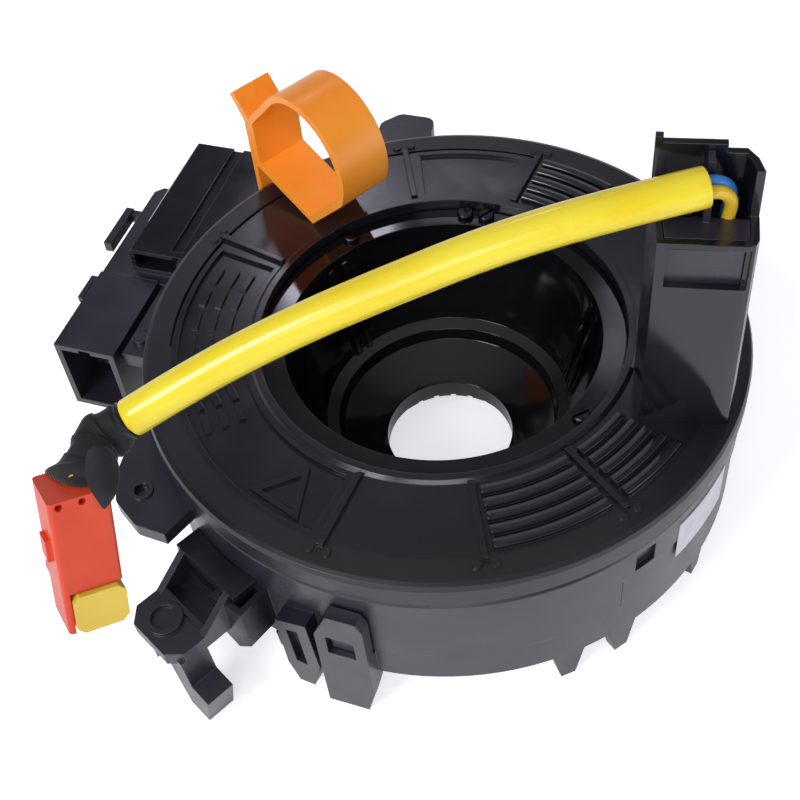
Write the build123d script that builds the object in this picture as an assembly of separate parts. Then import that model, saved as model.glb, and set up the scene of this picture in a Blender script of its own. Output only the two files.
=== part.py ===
from build123d import *
import os
from math import atan2, cos, degrees, pi, radians, sin, tan

# Steering clock spring, in millimetres.  +Z runs up the steering column's axis, the origin is on
# that axis in the plane of the case's bottom face, and +Y runs along the harness connector.

# ------------------------------------------------------------------ driving dimensions
# clearances
RUN_GAP = 0.3            # between a turning or sliding piece and a fixed one
FIT_GAP = 0.1            # between two fixed pieces that fit in or round each other
SEAM_GAP = 0.3           # open joint line between the two case halves

# case
CASE_R = 51.2            # lower case, outside
CASE_WALL = 2.0
CASE_CHAMFER = 0.9
FLOOR_T = 1.8
SIDE_SEAM = 16.2         # height of the joint line round the back and sides
FRONT_SEAM = 8.4         # height of the joint line under the front skirt
SKIRT_START = -96.0      # the front skirt's two ends, degrees
SKIRT_STOP = -40.0
COVER_STEP = 0.3         # upper case stands this much proud of the lower case
CHAMBER_H = 22.4         # from the floor's top to the rotor's rim

# feet and bracket of the lower case
FOOT_H = 8.0
FOOT_TOP_W = 6.0
FOOT_TIP_W = 2.6
FOOT_T = 2.2
FOOT_ANGLES = (-50.0, -38.0, -14.0, 32.0, 68.0, 128.0)
ARM_ANGLE = -118.0
ARM_REACH = 17.3         # the arm's outer edge, from the case's wall
ARM_W = 13.0
ARM_T = 3.0
ARM_TOP = 10.0
SHELF_TOP = 15.6
SHELF_REACH = 4.4
CHEEK_T = 1.3
CHEEK_REACH = 10.8
ARM_POCKET = (4.7, 9.4)      # the pocket between shelf and pad, from the case's wall
ARM_POCKET_FLOOR = 1.2
BOSS_R = 3.2
BOSS_H = 0.7
LEG_T = 5.2
LATCH_ANGLE = -91.0
LATCH_W = 8.6
LATCH_T = 2.4
LATCH_TOP = 20.0
LATCH_WINDOW_W = 4.8
LATCH_WINDOW = (8.9, 13.9)   # heights of the latch's window
CLAW_ANGLE = -100.0
POCKET_ANGLE = -111.0

# ears of the upper case
EAR_T = 2.8
EAR_FRONT_TOP = 20.8
EAR_BACK_TOP = 24.0
EAR_ROUND = 2.2
EAR_RING_R = 1.9
EAR_FRONT = ((-1.6, -151.9), (4.7, -147.1), (8.0, -141.0), (10.0, -135.4), (9.0, -129.4),
             (6.0, -124.9), (-1.0, -126.9))      # distance past the cover's side, degrees
EAR_BACK = ((-1.6, 122.7), (9.4, 120.0), (12.9, 118.8), (14.8, 114.8), (12.1, 108.7),
            (8.0, 109.6), (-1.6, 109.6))

# harness connector and the cover over its terminals
SOCKET_AWAY = 7.8        # from the case's side to the socket
SOCKET_W = 12.3
SOCKET_MOUTH_Y = -14.0
SOCKET_DEPTH = 13.0
SOCKET_WALL = 1.2
SOCKET_BOTTOM = 4.0
SOCKET_TOP = 20.5
LEDGE_TOP = 20.0
LEDGE_START_Y = 5.6
LEDGE_STOP_Y = 31.2
CONNECTOR_STOP_Y = 40.2
COVER_AWAY = 14.2        # from the case's side to the cover's outer side
COVER_START_Y = 8.1
COVER_TOP = 25.4
COVER_GROOVE = (8.5, 10.7)   # distances from the cover's outer side
COVER_RECESS = (0.9, 9.5)
BRIDGE_TOP = 19.7
BRIDGE_T = 3.0
BRIDGE_GROOVE = 0.8
GUIDE_AWAY = 2.0         # the guide rail stands this far off the connector
GUIDE_T = 1.6
GUIDE_H = 2.2
GUIDE_START_Y = 13.5
GUIDE_STOP_Y = 24.0
PIN_W = 0.8
HARNESS_PIN_L = 6.0
HARNESS_PINS = 5         # in each of two rows

# rotor disc
DISC_OVER = 0.8          # the disc's rim stands this far outside the lower case
DISC_T = 2.2
RIM_H = 4.6
RIM_W = 2.0
RIM_ROUND = 1.1
LIP_IN = 3.4             # the lip round the cup's mouth, inside the hub wall
LIP_W = 1.2
LIP_H = 0.6
HUB_R = 35.0             # outside of the wall that the flat cable winds on
HUB_WALL = 1.6
HUB_CLEAR = 2.2          # hub wall ends this far above the case's floor
SHELF_W = 3.3            # shelf that carries the cup's flange
SHELF_T = 1.5
BAND_W = 5.1             # plain band along the rim
FACE_IN = 2.4            # the ribbed face starts this far outside the lip
RELIEF = 0.7             # depth of panels and height of ribs
RIB_W = 1.1
RIB_ANGLES = (-95.5, -65.0, -37.0, 84.0, 116.0, 166.0)
STUD_R = 0.75
RIDGE_COUNT = 5
RIDGE_FIELDS = ((-63.0, -39.0), (-35.0, -19.0), (64.0, 82.0))
PANELS = ((-190.5, -152.0), (-150.0, -98.5), (88.0, 112.5))

# cup and the ring under it
CUP_FLANGE_T = 1.7
CUP_FLANGE_W = 4.2
CUP_TAPER = 5.0          # the mouth's radius less the step's
CUP_STEP_Z = 8.0
CUP_STEP_W = 3.0
CUP_FLOOR_Z = 5.2
CUP_WALL = 1.4
BORE_R = 11.7
BORE_LEN = 3.4
BORE_TOP = 0.9
FLOOR_HOLE_R = 15.9
CAM_BOTTOM = -4.0
CAM_FLANGE_R = 19.0
CAM_LIP_R = 12.6
CAM_NOTCHES = 24
SCREW_IN = 1.8           # circle of the flange screws, inside the lip
SCREW_ANGLES = (141.7, 98.9, 91.3, -24.0)
SCREW_HEAD_R = 1.6
SCREW_HEAD_H = 1.0
SCREW_SHANK_R = 0.9

# switch tower on the disc's right
TOWER_IN = 15.7          # its front left corner, from the disc's right end
TOWER_Y = -11.5
TOWER_TURN = 10.4
TOWER_WALL = 1.1
TOWER_FRONT_H = 38.5     # above the disc
TOWER_BACK_H = 47.9
TOWER_STEP = 1.4         # the rim side ends this much below the back wall
TOWER_W = 14.2           # front wall at the foot
TOWER_HEAD_W = 13.7      # front wall at the top
TOWER_D = 10.9
TOWER_BACK_LEFT = 1.0    # the back wall runs this far past the front wall's left end
TOWER_ROUND = 1.5        # front right corner
TOWER_WINDOW = (30.1, 37.5)  # heights above the disc
INSERT_BACK = 5.5        # back of the insert's front block
POCKET_H = 35.0          # the wire pocket's floor, above the disc
DIVIDER_X = (6.2, 7.2)
DIVIDER_H = 47.0

# lock ring
LOCK_ANGLE = 149.5
LOCK_PAST = 0.5          # its outer leg stands this far outside the rim
LOCK_SHIFT = 5.75        # its middle plane, from the disc's axis
LOCK_BAND_W = 10.3
LOCK_TAB_W = 8.2
LOCK_T = 1.3
LOCK_BASE = 16.1
LOCK_RISE = 4.6
LOCK_LEG_TOP = 15.6
LOCK_RING_R = 11.6
LOCK_RING_Z = 16.0
LOCK_PRONG_W = 3.2
LOCK_PRONG_T = 1.2
LOCK_PRONGS = (3.4, 7.2)     # distances of the prongs from the corner

# flat cable in its chamber
CABLE_T = 0.35
CABLE_TURNS = 4
CABLE_IN = 3.4           # first turn, outside the hub wall
CABLE_OUT = 2.0          # last turn, inside the case's wall
CABLE_H = 15.0
LEAD_T = 1.4
LEAD_W = 7.0
LEAD_RISE = 1.0

# airbag lead: wires, sleeve, tape and plug
WIRE_R = 0.95
WIRE_SPREAD = 2.15       # distance between the two wires' centre lines
SLEEVE_R = 2.9
SLEEVE_BORE_R = 2.25
TAPE_W = 13.6            # at the plug
TAPE_D = 6.8
TAPE_SIDES = 16
PLUG_L = 22.6
PLUG_ABOVE = 0.0         # the wire end stands this far above the plug's reference point
PLUG_W = 8.8
PLUG_D = 8.0
PLUG_WALL = 1.1
BARREL_R = 4.0
BARREL_L = 3.6
KEY_L = 6.6
KEY_X = (-3.3, 4.4)      # the key's two sides, across the plug
KEY_T = 2.6
KEY_PROUD = 0.8
KEY_TRAVEL = 1.5

# blank label
LABEL_ARC = (-27.0, -11.0)
LABEL_Z = (11.5, 20.5)
LABEL_T = 0.15

# ------------------------------------------------------------------ sizes that follow
CASE_IN_R = CASE_R - CASE_WALL
COVER_R = CASE_R + COVER_STEP
COVER_EDGE = FLOOR_T + CHAMBER_H + 0.4
RIM_BOTTOM = COVER_EDGE + RUN_GAP
DISC_R = CASE_R + DISC_OVER
DISC_TOP = RIM_BOTTOM + RIM_H
DISC_UNDER = DISC_TOP - DISC_T
HUB_IN_R = HUB_R - HUB_WALL
LIP_R = HUB_R - LIP_IN
SHELF_IN_R = LIP_R - SHELF_W
SCREW_R = LIP_R - SCREW_IN
BAND_R = DISC_R - BAND_W
FACE_R = LIP_R + FACE_IN
RIB_R = (FACE_R - 0.4, BAND_R + 0.9)
RIDGE_PITCH = (BAND_R - FACE_R - 2.9) / (RIDGE_COUNT - 1)
MARK_PITCH = (BAND_R - FACE_R - 6.9) / 2
CUP_MOUTH_R = LIP_R - CUP_FLANGE_W
CUP_STEP_R = CUP_MOUTH_R - CUP_TAPER
CUP_FLOOR_R = CUP_STEP_R - CUP_STEP_W
HUB_BOTTOM = FLOOR_T + HUB_CLEAR
FLANGE_Z = DISC_UNDER - 1.0
TUBE_OUT_R = BORE_R + CUP_WALL
CAM_OUT_R = FLOOR_HOLE_R - RUN_GAP
TOWER_ORIGIN = (DISC_R - TOWER_IN, TOWER_Y)
TOWER_TOP = DISC_TOP + TOWER_FRONT_H
TOWER_BACK_TOP = DISC_TOP + TOWER_BACK_H
POCKET_FLOOR = DISC_TOP + POCKET_H
LOCK_R = DISC_R + LOCK_PAST - LOCK_BASE
CABLE_IN_R = HUB_R + CABLE_IN
CABLE_PITCH = (CASE_IN_R - CABLE_OUT - CABLE_IN_R) / CABLE_TURNS
SOCKET_IN_X = -(CASE_R + SOCKET_AWAY)
SOCKET_OUT_X = SOCKET_IN_X - SOCKET_W
COVER_OUT_X = -(CASE_R + COVER_AWAY)


# ------------------------------------------------------------------ helpers
def spun(points, start=0.0, stop=360.0):
    """A closed outline of (radius, height) points, turned about the column's axis."""
    outline = Plane.XZ * make_face(Polyline(points, close=True))
    return Rot(0, 0, start) * revolve(outline, Axis.Z, stop - start)


def sector(r_in, r_out, start, stop, low, high):
    """A piece of a flat ring between two radii, two angles and two heights."""
    return spun([(r_in, low), (r_out, low), (r_out, high), (r_in, high)], start, stop)


def block(x, y, z):
    """A box from three (low, high) pairs."""
    size = [pair[1] - pair[0] for pair in (x, y, z)]
    middle = [(pair[0] + pair[1]) / 2 for pair in (x, y, z)]
    return Pos(*middle) * Box(*size)


def polar(radius, angle, z=0.0):
    return (radius * cos(radians(angle)), radius * sin(radians(angle)), z)


def wall_plane(radius, angle):
    """Upright plane facing outwards at an angle: x along the wall, y up, z outwards."""
    c, s = cos(radians(angle)), sin(radians(angle))
    return Plane(origin=(radius * c, radius * s, 0), x_dir=(-s, c, 0), z_dir=(c, s, 0))


def on_wall(points, r_in, r_out, angle):
    """A plate with an outline of (along, height) points, between two radii at an angle."""
    return extrude(wall_plane(r_in, angle) * make_face(Polyline(points, close=True)), r_out - r_in)


def on_floor(points, low, high):
    """A plate with an outline of (x, y) points, between two heights."""
    return extrude(Pos(0, 0, low) * make_face(Polyline(points, close=True)), high - low)


def along_arm(r_in, r_out, side_a, side_b, low, high):
    """A box on the bracket arm: radii, sideways limits and heights."""
    return Rot(0, 0, ARM_ANGLE) * block((r_in, r_out), (side_a, side_b), (low, high))


# ------------------------------------------------------------------ stator: the fixed half
def foot(angle):
    half_top, half_tip = FOOT_TOP_W / 2, FOOT_TIP_W / 2
    outline = [(-half_top, FLOOR_T), (-half_top, 0), (-half_tip, -FOOT_H), (half_tip, -FOOT_H),
               (half_top, 0), (half_top, FLOOR_T)]
    return on_wall(outline, CASE_R - CASE_CHAMFER - FOOT_T, CASE_R - CASE_CHAMFER, angle)


def bracket_arm():
    """Arm at the front left: a shelf on the wall, a pad with a round boss, and a hooked leg."""
    half = ARM_W / 2
    arm_r, shelf_r, cheek_r = CASE_R + ARM_REACH, CASE_R + SHELF_REACH, CASE_R + CHEEK_REACH
    pad = along_arm(CASE_IN_R, arm_r, -half, half, ARM_TOP - ARM_T, ARM_TOP)
    pad = chamfer(pad.edges().filter_by(Axis.Z).sort_by_distance((0, 0, 0))[-2:], 2.4)
    shelf = along_arm(CASE_IN_R, shelf_r, -half - 1, half + 1, SHELF_TOP - ARM_T, SHELF_TOP)
    arm = pad + shelf
    cheek = Plane.XZ * make_face(Polyline([(CASE_IN_R, ARM_TOP - ARM_T), (cheek_r, ARM_TOP - ARM_T),
                                           (cheek_r, ARM_TOP), (shelf_r, SHELF_TOP),
                                           (CASE_IN_R, SHELF_TOP)], close=True))
    for side in (-half + CHEEK_T, half):
        arm += Rot(0, 0, ARM_ANGLE) * Pos(0, side, 0) * extrude(cheek, CHEEK_T)
    pocket_in, pocket_out = (CASE_R + reach for reach in ARM_POCKET)
    inner = half - CHEEK_T
    arm += along_arm(pocket_out, pocket_out + 1, -inner, inner, ARM_TOP - 1, ARM_TOP + 0.6)
    arm -= along_arm(pocket_in, pocket_out, -inner, inner, ARM_TOP - ARM_T + ARM_POCKET_FLOOR, SHELF_TOP + 1)
    boss_at = Rot(0, 0, ARM_ANGLE) * Pos(arm_r - BOSS_R - 0.9, -1.0, 0)
    arm += boss_at * Pos(0, 0, ARM_TOP + BOSS_H / 2) * (
        Cylinder(BOSS_R, BOSS_H) - Cylinder(BOSS_R - 1.0, BOSS_H))
    leg_top = ARM_TOP - ARM_T + 1
    leg = [(0.4, leg_top), (half, leg_top), (half + 0.8, 1.5), (half + 5.0, 1.0),
           (half + 2.6, -FOOT_H), (half - 2.2, -FOOT_H)]
    arm += on_wall(leg, arm_r - 1.2 - LEG_T, arm_r - 1.2, ARM_ANGLE)
    spike = [(-3.6, leg_top), (-1.4, leg_top), (-2.8, -1.0)]
    arm += on_wall(spike, arm_r - 2.6, arm_r - 1.0, ARM_ANGLE)
    return arm


def front_latch():
    """Loop that rises in front of the skirt and takes its tooth."""
    half = LATCH_W / 2
    seam = FRONT_SEAM - SEAM_GAP
    loop_in = COVER_R + RUN_GAP
    loop = on_wall([(-half, -FOOT_H), (half - 1.4, -FOOT_H), (half, -2), (half, LATCH_TOP - 2),
                    (half - 1, LATCH_TOP), (-half + 2.6, LATCH_TOP), (-half, LATCH_TOP - 6)],
                   loop_in, loop_in + LATCH_T, LATCH_ANGLE)
    low, high = LATCH_WINDOW
    half_window = LATCH_WINDOW_W / 2
    loop -= on_wall([(-half_window, low), (half_window, low), (half_window, high), (-half_window, high)],
                    loop_in - 1, loop_in + LATCH_T + 1, LATCH_ANGLE)
    root = on_wall([(-half, -FOOT_H), (half - 1.4, -FOOT_H), (half, -2), (half, seam - 0.6),
                    (-half, seam - 0.6)], CASE_IN_R + 0.6, loop_in + 0.1, LATCH_ANGLE)
    return loop + root


def side_claws():
    """Clip claw, pocket and nub on the wall between the arm and the latch."""
    claw = on_wall([(-3.4, 12.4), (2.6, 14.6), (3.6, 2.0), (1.6, -5.6), (-1.4, -6.0), (-3.0, -1.0)],
                   CASE_IN_R + 0.6, CASE_R + 2.9, CLAW_ANGLE)
    claw -= on_wall([(-1.6, 10.6), (0.6, 11.4), (1.2, 1.0), (-1.0, 1.0)],
                    CASE_R + 1.4, CASE_R + 4, CLAW_ANGLE)
    pocket = on_wall([(-3.8, 14.0), (3.4, 14.6), (3.8, 5.4), (0.2, 1.6), (-3.8, 4.6)],
                     CASE_IN_R + 0.6, CASE_R + 6.2, POCKET_ANGLE)
    pocket -= on_wall([(-2.6, 15.0), (2.2, 15.6), (2.6, 7.0), (-2.6, 7.0)],
                      CASE_R + 0.8, CASE_R + 5.0, POCKET_ANGLE)
    nub = on_wall([(-1.2, 3.0), (1.2, 3.0), (0.6, -1.4), (-0.8, -1.0)],
                  CASE_IN_R + 0.8, CASE_R + 1.0, (CLAW_ANGLE + POCKET_ANGLE) / 2)
    return claw + pocket + nub


def lower_case():
    wall_top = SIDE_SEAM - SEAM_GAP
    case = spun([(FLOOR_HOLE_R, 0), (CASE_R - CASE_CHAMFER, 0), (CASE_R, CASE_CHAMFER),
                 (CASE_R, wall_top), (CASE_IN_R, wall_top), (CASE_IN_R, FLOOR_T),
                 (FLOOR_HOLE_R, FLOOR_T)])
    case -= sector(CASE_IN_R - 1, CASE_R + 1, SKIRT_START, SKIRT_STOP, FRONT_SEAM - SEAM_GAP, wall_top + 1)
    for angle in FOOT_ANGLES:
        case += foot(angle)
    outside = bracket_arm() + front_latch() + side_claws()
    return case + (outside - Cylinder(CASE_IN_R + 0.3, 4 * SIDE_SEAM))


def ear(outline, top):
    """Fixing ear on the cover, from points given as distance past its side and angle."""
    corners = [polar(COVER_R + away, angle)[:2] for away, angle in outline]
    plate = on_floor(corners, top - EAR_T, top)
    outer = plate.edges().filter_by(Axis.Z).sort_by_distance((0, 0, top))[-3:]
    return fillet(outer, EAR_ROUND)


def upper_case():
    """Ring that closes the chamber's side, with a skirt at the front and two screw ears."""
    ring = spun([(CASE_IN_R, FRONT_SEAM), (COVER_R, FRONT_SEAM), (COVER_R, COVER_EDGE - 1.6),
                 (COVER_R - 0.5, COVER_EDGE - 1.0), (COVER_R - 0.5, COVER_EDGE), (CASE_IN_R, COVER_EDGE)])
    inset = 0.4
    ring -= sector(CASE_IN_R - 1, COVER_R + 1, SKIRT_STOP - inset, 360 + SKIRT_START + inset,
                   FRONT_SEAM - 1, SIDE_SEAM)
    low, high = LATCH_WINDOW
    half = LATCH_WINDOW_W / 2 - RUN_GAP
    ring += on_wall([(-half, low + RUN_GAP), (half, low + RUN_GAP), (half, high - RUN_GAP - 0.8),
                     (-half, high - RUN_GAP)], COVER_R - 0.8, COVER_R + 1.6, LATCH_ANGLE)
    ears = ear(EAR_FRONT, EAR_FRONT_TOP) + ear(EAR_BACK, EAR_BACK_TOP)
    ring_at = Pos(*polar(COVER_R + 5.4, -135.0, EAR_FRONT_TOP))
    ears += ring_at * Cylinder(EAR_RING_R, 0.8)
    ears -= ring_at * Cylinder(EAR_RING_R - 0.6, 1.4)
    side_recess = on_wall([(-2.0, 17.2), (2.0, 17.2), (2.0, 21.6), (-2.0, 21.6)],
                          COVER_R - 0.9, COVER_R + 2, -35.5)
    return ring + (ears - Cylinder(CASE_IN_R + 0.3, 8 * SIDE_SEAM)) - side_recess


def connector_body():
    """Harness connector: the socket, the ledge behind it and the bridge to the case."""
    body = block((SOCKET_OUT_X, SOCKET_IN_X), (SOCKET_MOUTH_Y, LEDGE_START_Y), (SOCKET_BOTTOM, SOCKET_TOP))
    bridge_x = SOCKET_IN_X + BRIDGE_GROOVE
    body += block((bridge_x - 2, -40), (SOCKET_MOUTH_Y + 1.7, LEDGE_START_Y + 1), (BRIDGE_TOP - BRIDGE_T, BRIDGE_TOP))
    body -= block((SOCKET_IN_X, bridge_x), (SOCKET_MOUTH_Y, LEDGE_START_Y), (BRIDGE_TOP - 1.5, BRIDGE_TOP + 1))
    body += block((SOCKET_OUT_X, -36), (LEDGE_START_Y, LEDGE_STOP_Y), (SOCKET_BOTTOM, LEDGE_TOP))
    body += block((COVER_OUT_X, -26), (LEDGE_STOP_Y, CONNECTOR_STOP_Y), (SOCKET_BOTTOM + 2, LEDGE_TOP))
    body = chamfer(body.edges().filter_by(Axis.Z).sort_by_distance((SOCKET_OUT_X, LEDGE_STOP_Y, 12))[0], 1.5)
    body += block((SOCKET_OUT_X + 1.5, COVER_OUT_X + 6), (LEDGE_START_Y + 0.3, LEDGE_START_Y + 0.8),
                  (LEDGE_TOP - 0.2, LEDGE_TOP + 0.3))
    body += Pos(bridge_x + 2.0, SOCKET_MOUTH_Y + 5.7, BRIDGE_TOP + 0.4) * Cylinder(1.5, 0.8)
    body -= Cylinder(COVER_R + FIT_GAP, 8 * SOCKET_TOP)
    body -= block((SOCKET_OUT_X + SOCKET_WALL, SOCKET_IN_X - SOCKET_WALL),
                  (SOCKET_MOUTH_Y - 1, SOCKET_MOUTH_Y + SOCKET_DEPTH),
                  (SOCKET_BOTTOM + SOCKET_WALL, SOCKET_TOP - SOCKET_WALL))
    key_x = (SOCKET_OUT_X + SOCKET_IN_X) / 2
    body -= block((key_x - 1.2, key_x + 1.2), (SOCKET_MOUTH_Y - 1, SOCKET_MOUTH_Y + 5),
                  (SOCKET_TOP - SOCKET_WALL - 0.1, SOCKET_TOP - 0.45))
    rail_out = SOCKET_OUT_X - GUIDE_AWAY - GUIDE_T
    rail_low = LEDGE_TOP - GUIDE_H
    rail = block((rail_out, rail_out + GUIDE_T), (GUIDE_START_Y, GUIDE_STOP_Y), (rail_low, LEDGE_TOP))
    rail += block((rail_out + GUIDE_T, SOCKET_OUT_X), (GUIDE_STOP_Y - 1.6, GUIDE_STOP_Y), (rail_low, LEDGE_TOP - 0.4))
    hook = block((SOCKET_OUT_X - 2.0, SOCKET_OUT_X - 1.0), (-1.0, 5.0), (18.0, 19.5))
    hook += block((SOCKET_OUT_X - 1.0, SOCKET_OUT_X), (3.4, 5.0), (18.0, 19.5))
    return body + rail + hook


def harness_terminals():
    """Two rows of blades standing out of the socket's end wall."""
    back_y = SOCKET_MOUTH_Y + SOCKET_DEPTH
    left, right = SOCKET_OUT_X + SOCKET_WALL, SOCKET_IN_X - SOCKET_WALL
    step = (right - left) / (HARNESS_PINS + 1)
    middle_z = (SOCKET_BOTTOM + SOCKET_TOP) / 2
    pins = []
    for z in (middle_z - 3.2, middle_z + 3.2):
        for n in range(HARNESS_PINS):
            x = left + step * (n + 1)
            pins.append(block((x - PIN_W / 2, x + PIN_W / 2), (back_y - HARNESS_PIN_L, back_y),
                              (z - PIN_W / 2, z + PIN_W / 2)))
    return Compound(children=pins)


def terminal_cover():
    """Lid over the welded terminals, flush under the rotor's rim."""
    lid = block((COVER_OUT_X, -26), (COVER_START_Y, CONNECTOR_STOP_Y), (LEDGE_TOP, COVER_TOP))
    lid -= Cylinder(DISC_R + 2 * RUN_GAP, 8 * COVER_TOP)
    lid = chamfer(lid.edges().filter_by(Axis.Y).group_by(Axis.Z)[-1].sort_by(Axis.X)[0], 0.6)
    groove = [COVER_OUT_X + away for away in COVER_GROOVE]
    lid -= block(groove, (COVER_START_Y + 1.5, CONNECTOR_STOP_Y + 1), (COVER_TOP - 0.6, COVER_TOP + 1))
    recess = [COVER_OUT_X + away for away in COVER_RECESS]
    lid -= block(recess, (COVER_START_Y - 1, COVER_START_Y + 3.5), (LEDGE_TOP + 0.8, COVER_TOP - 1.0))
    return lid


def flat_cable():
    """The ribbon that winds and unwinds: half turns of growing radius, end to end."""
    low = FLOOR_T + LEAD_RISE
    step = CABLE_PITCH / 2
    ribbon = None
    for n in range(2 * CABLE_TURNS):
        radius = CABLE_IN_R + n * step
        start = 0 if n % 2 == 0 else 180
        shift = 0 if n % 2 == 0 else step
        half_turn = Pos(shift, 0, 0) * sector(radius, radius + CABLE_T, start, start + 180, low, low + CABLE_H)
        ribbon = half_turn if ribbon is None else ribbon + half_turn
    return ribbon


def lead_block(radius, angle):
    """Moulded block at one end of the flat cable."""
    low = FLOOR_T + LEAD_RISE
    half = degrees(atan2(LEAD_W / 2, radius))
    return sector(radius, radius + LEAD_T, angle - half, angle + half, low, low + CABLE_H)


def blank_label():
    return sector(COVER_R, COVER_R + LABEL_T, *LABEL_ARC, *LABEL_Z)


# ------------------------------------------------------------------ rotor: the turning half
def rotor_disc():
    """Disc, rim and hub wall in one moulding, with ribs, ridges and sunk panels on its face."""
    lip_top = DISC_TOP + LIP_H
    outline = make_face(Polyline([
        (DISC_R, RIM_BOTTOM), (DISC_R, DISC_TOP - RIM_ROUND), (DISC_R - 0.3 * RIM_ROUND, DISC_TOP - 0.3 * RIM_ROUND),
        (DISC_R - RIM_ROUND, DISC_TOP), (HUB_IN_R, DISC_TOP), (LIP_R + LIP_W, lip_top),
        (LIP_R, lip_top), (LIP_R, FLANGE_Z), (SHELF_IN_R, FLANGE_Z), (SHELF_IN_R, FLANGE_Z - SHELF_T),
        (HUB_IN_R, FLANGE_Z - SHELF_T), (HUB_IN_R, HUB_BOTTOM), (HUB_R, HUB_BOTTOM), (HUB_R, DISC_UNDER),
        (DISC_R - RIM_W, DISC_UNDER), (DISC_R - RIM_W, RIM_BOTTOM)], close=True))
    disc = revolve(Plane.XZ * outline, Axis.Z)
    disc -= sector(BAND_R - 0.3, BAND_R + 0.3, 84, 200, DISC_TOP - RELIEF, DISC_TOP + 1)
    for start, stop in PANELS:
        disc -= sector(FACE_R + 0.4, BAND_R - 1.2, start, stop, DISC_TOP - RELIEF, DISC_TOP + 1)
    for start, stop in RIDGE_FIELDS:
        for n in range(RIDGE_COUNT):
            radius = FACE_R + 1.4 + n * RIDGE_PITCH
            disc += sector(radius, radius + RIB_W, start, stop, DISC_UNDER + 0.5, DISC_TOP + RELIEF / 2)
    for angle in RIB_ANGLES:
        rib = block(RIB_R, (-RIB_W / 2, RIB_W / 2), (DISC_UNDER + 0.5, DISC_TOP + RELIEF))
        for side in (-1.4, 1.4):
            rib += Pos(RIB_R[1] + 0.7, side, DISC_TOP) * Cylinder(STUD_R, RELIEF)
        disc += Rot(0, 0, angle) * rib
    disc += plain_marks()
    for away in LOCK_PRONGS:
        disc -= prong(away, RUN_GAP)
    for angle in SCREW_ANGLES:
        disc -= Pos(*polar(SCREW_R, angle, FLANGE_Z)) * Cylinder(SCREW_SHANK_R + FIT_GAP, 4 * SHELF_T)
    return disc


def plain_marks():
    """Raised bars and a triangular frame in the sunk panels."""
    low, high = DISC_UNDER + 0.5, DISC_TOP - RELIEF / 3
    marks = None
    for angle, tilt in ((-183.0, 0), (-175.5, 0), (-168.0, 0), (-160.5, 0), (-143.0, 8), (-136.0, -8)):
        for radius in (FACE_R + 3.4 + n * MARK_PITCH for n in range(3)):
            bar = block((radius - 0.6, radius + 0.6), (-1.9, 1.9), (low, high))
            bar = Rot(0, 0, angle) * Pos(radius, 0, 0) * Rot(0, 0, tilt) * Pos(-radius, 0, 0) * bar
            marks = bar if marks is None else marks + bar
    corners = [polar(BAND_R - 2.3, -115.5), polar(BAND_R - 2.0, -102.5), polar(FACE_R + 1.8, -108.5)]
    triangle = make_face(Polyline([(x, y) for x, y, z in corners], close=True))
    frame = triangle - offset(triangle, -0.9)
    return marks + Pos(0, 0, low) * extrude(frame, high - low)


def hub_cup():
    """Funnel round the steering shaft, hung from the disc by its flange."""
    flange_top = FLANGE_Z + CUP_FLANGE_T
    under = FLOOR_T + RUN_GAP + 0.2
    mouth_z = flange_top - 10.0
    cup = spun([
        (LIP_R - RUN_GAP, FLANGE_Z), (LIP_R - RUN_GAP, flange_top), (CUP_MOUTH_R, flange_top),
        (CUP_MOUTH_R - 2.1, mouth_z), (CUP_STEP_R, CUP_STEP_Z), (CUP_FLOOR_R + 0.8, CUP_STEP_Z - 0.8),
        (CUP_FLOOR_R, CUP_FLOOR_Z), (BORE_R + 0.7, BORE_TOP + 0.5), (BORE_R, BORE_TOP),
        (BORE_R, BORE_TOP - BORE_LEN), (TUBE_OUT_R, BORE_TOP - BORE_LEN), (TUBE_OUT_R, 0.3),
        (CAM_OUT_R - 0.3, 1.4), (CAM_OUT_R - 0.3, under), (CUP_FLOOR_R + 1.4, under),
        (CUP_FLOOR_R + 2.2, CUP_STEP_Z - 2.2), (CUP_STEP_R + CUP_WALL, CUP_STEP_Z - 1.0),
        (CUP_MOUTH_R - 2.1 + CUP_WALL, mouth_z), (CUP_MOUTH_R + 0.2, FLANGE_Z)])
    for angle in (150.0, 157.0, 24.0, 31.0):
        slope = [(CUP_MOUTH_R - 0.6, flange_top - 1.0), (CUP_STEP_R + 0.6, CUP_STEP_Z),
                 (CUP_STEP_R - 0.7, CUP_STEP_Z), (CUP_MOUTH_R - 1.5, flange_top - 3.0)]
        rib = extrude(Plane.XZ * make_face(Polyline(slope, close=True)), RIB_W / 2, both=True)
        cup += Rot(0, 0, angle) * rib
    cup -= Rot(0, 0, 153.5) * block((CUP_FLOOR_R - 0.5, CUP_FLOOR_R + 4), (-1.0, 1.0),
                                    (CUP_STEP_Z + 0.8, CUP_STEP_Z + 2.4))
    for angle in SCREW_ANGLES:
        cup -= Pos(*polar(SCREW_R, angle, FLANGE_Z)) * Cylinder(SCREW_SHANK_R + FIT_GAP, 4 * CUP_FLANGE_T)
    return cup


def hub_screws():
    """Slotted round-head screws through the cup's flange into the shelf."""
    seat = FLANGE_Z + CUP_FLANGE_T
    screws = []
    for angle in SCREW_ANGLES:
        screw = Pos(0, 0, seat + SCREW_HEAD_H / 2) * Cylinder(SCREW_HEAD_R, SCREW_HEAD_H)
        screw = chamfer(screw.edges().group_by(Axis.Z)[-1], 0.35)
        screw += Pos(0, 0, seat - 1.4) * Cylinder(SCREW_SHANK_R, 2.9)
        screw -= Pos(0, 0, seat + SCREW_HEAD_H) * Box(2 * SCREW_HEAD_R + 1, 0.5, 0.9)
        screws.append(Pos(*polar(SCREW_R, angle)) * Rot(0, 0, angle + 50) * screw)
    return Compound(children=screws)


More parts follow.
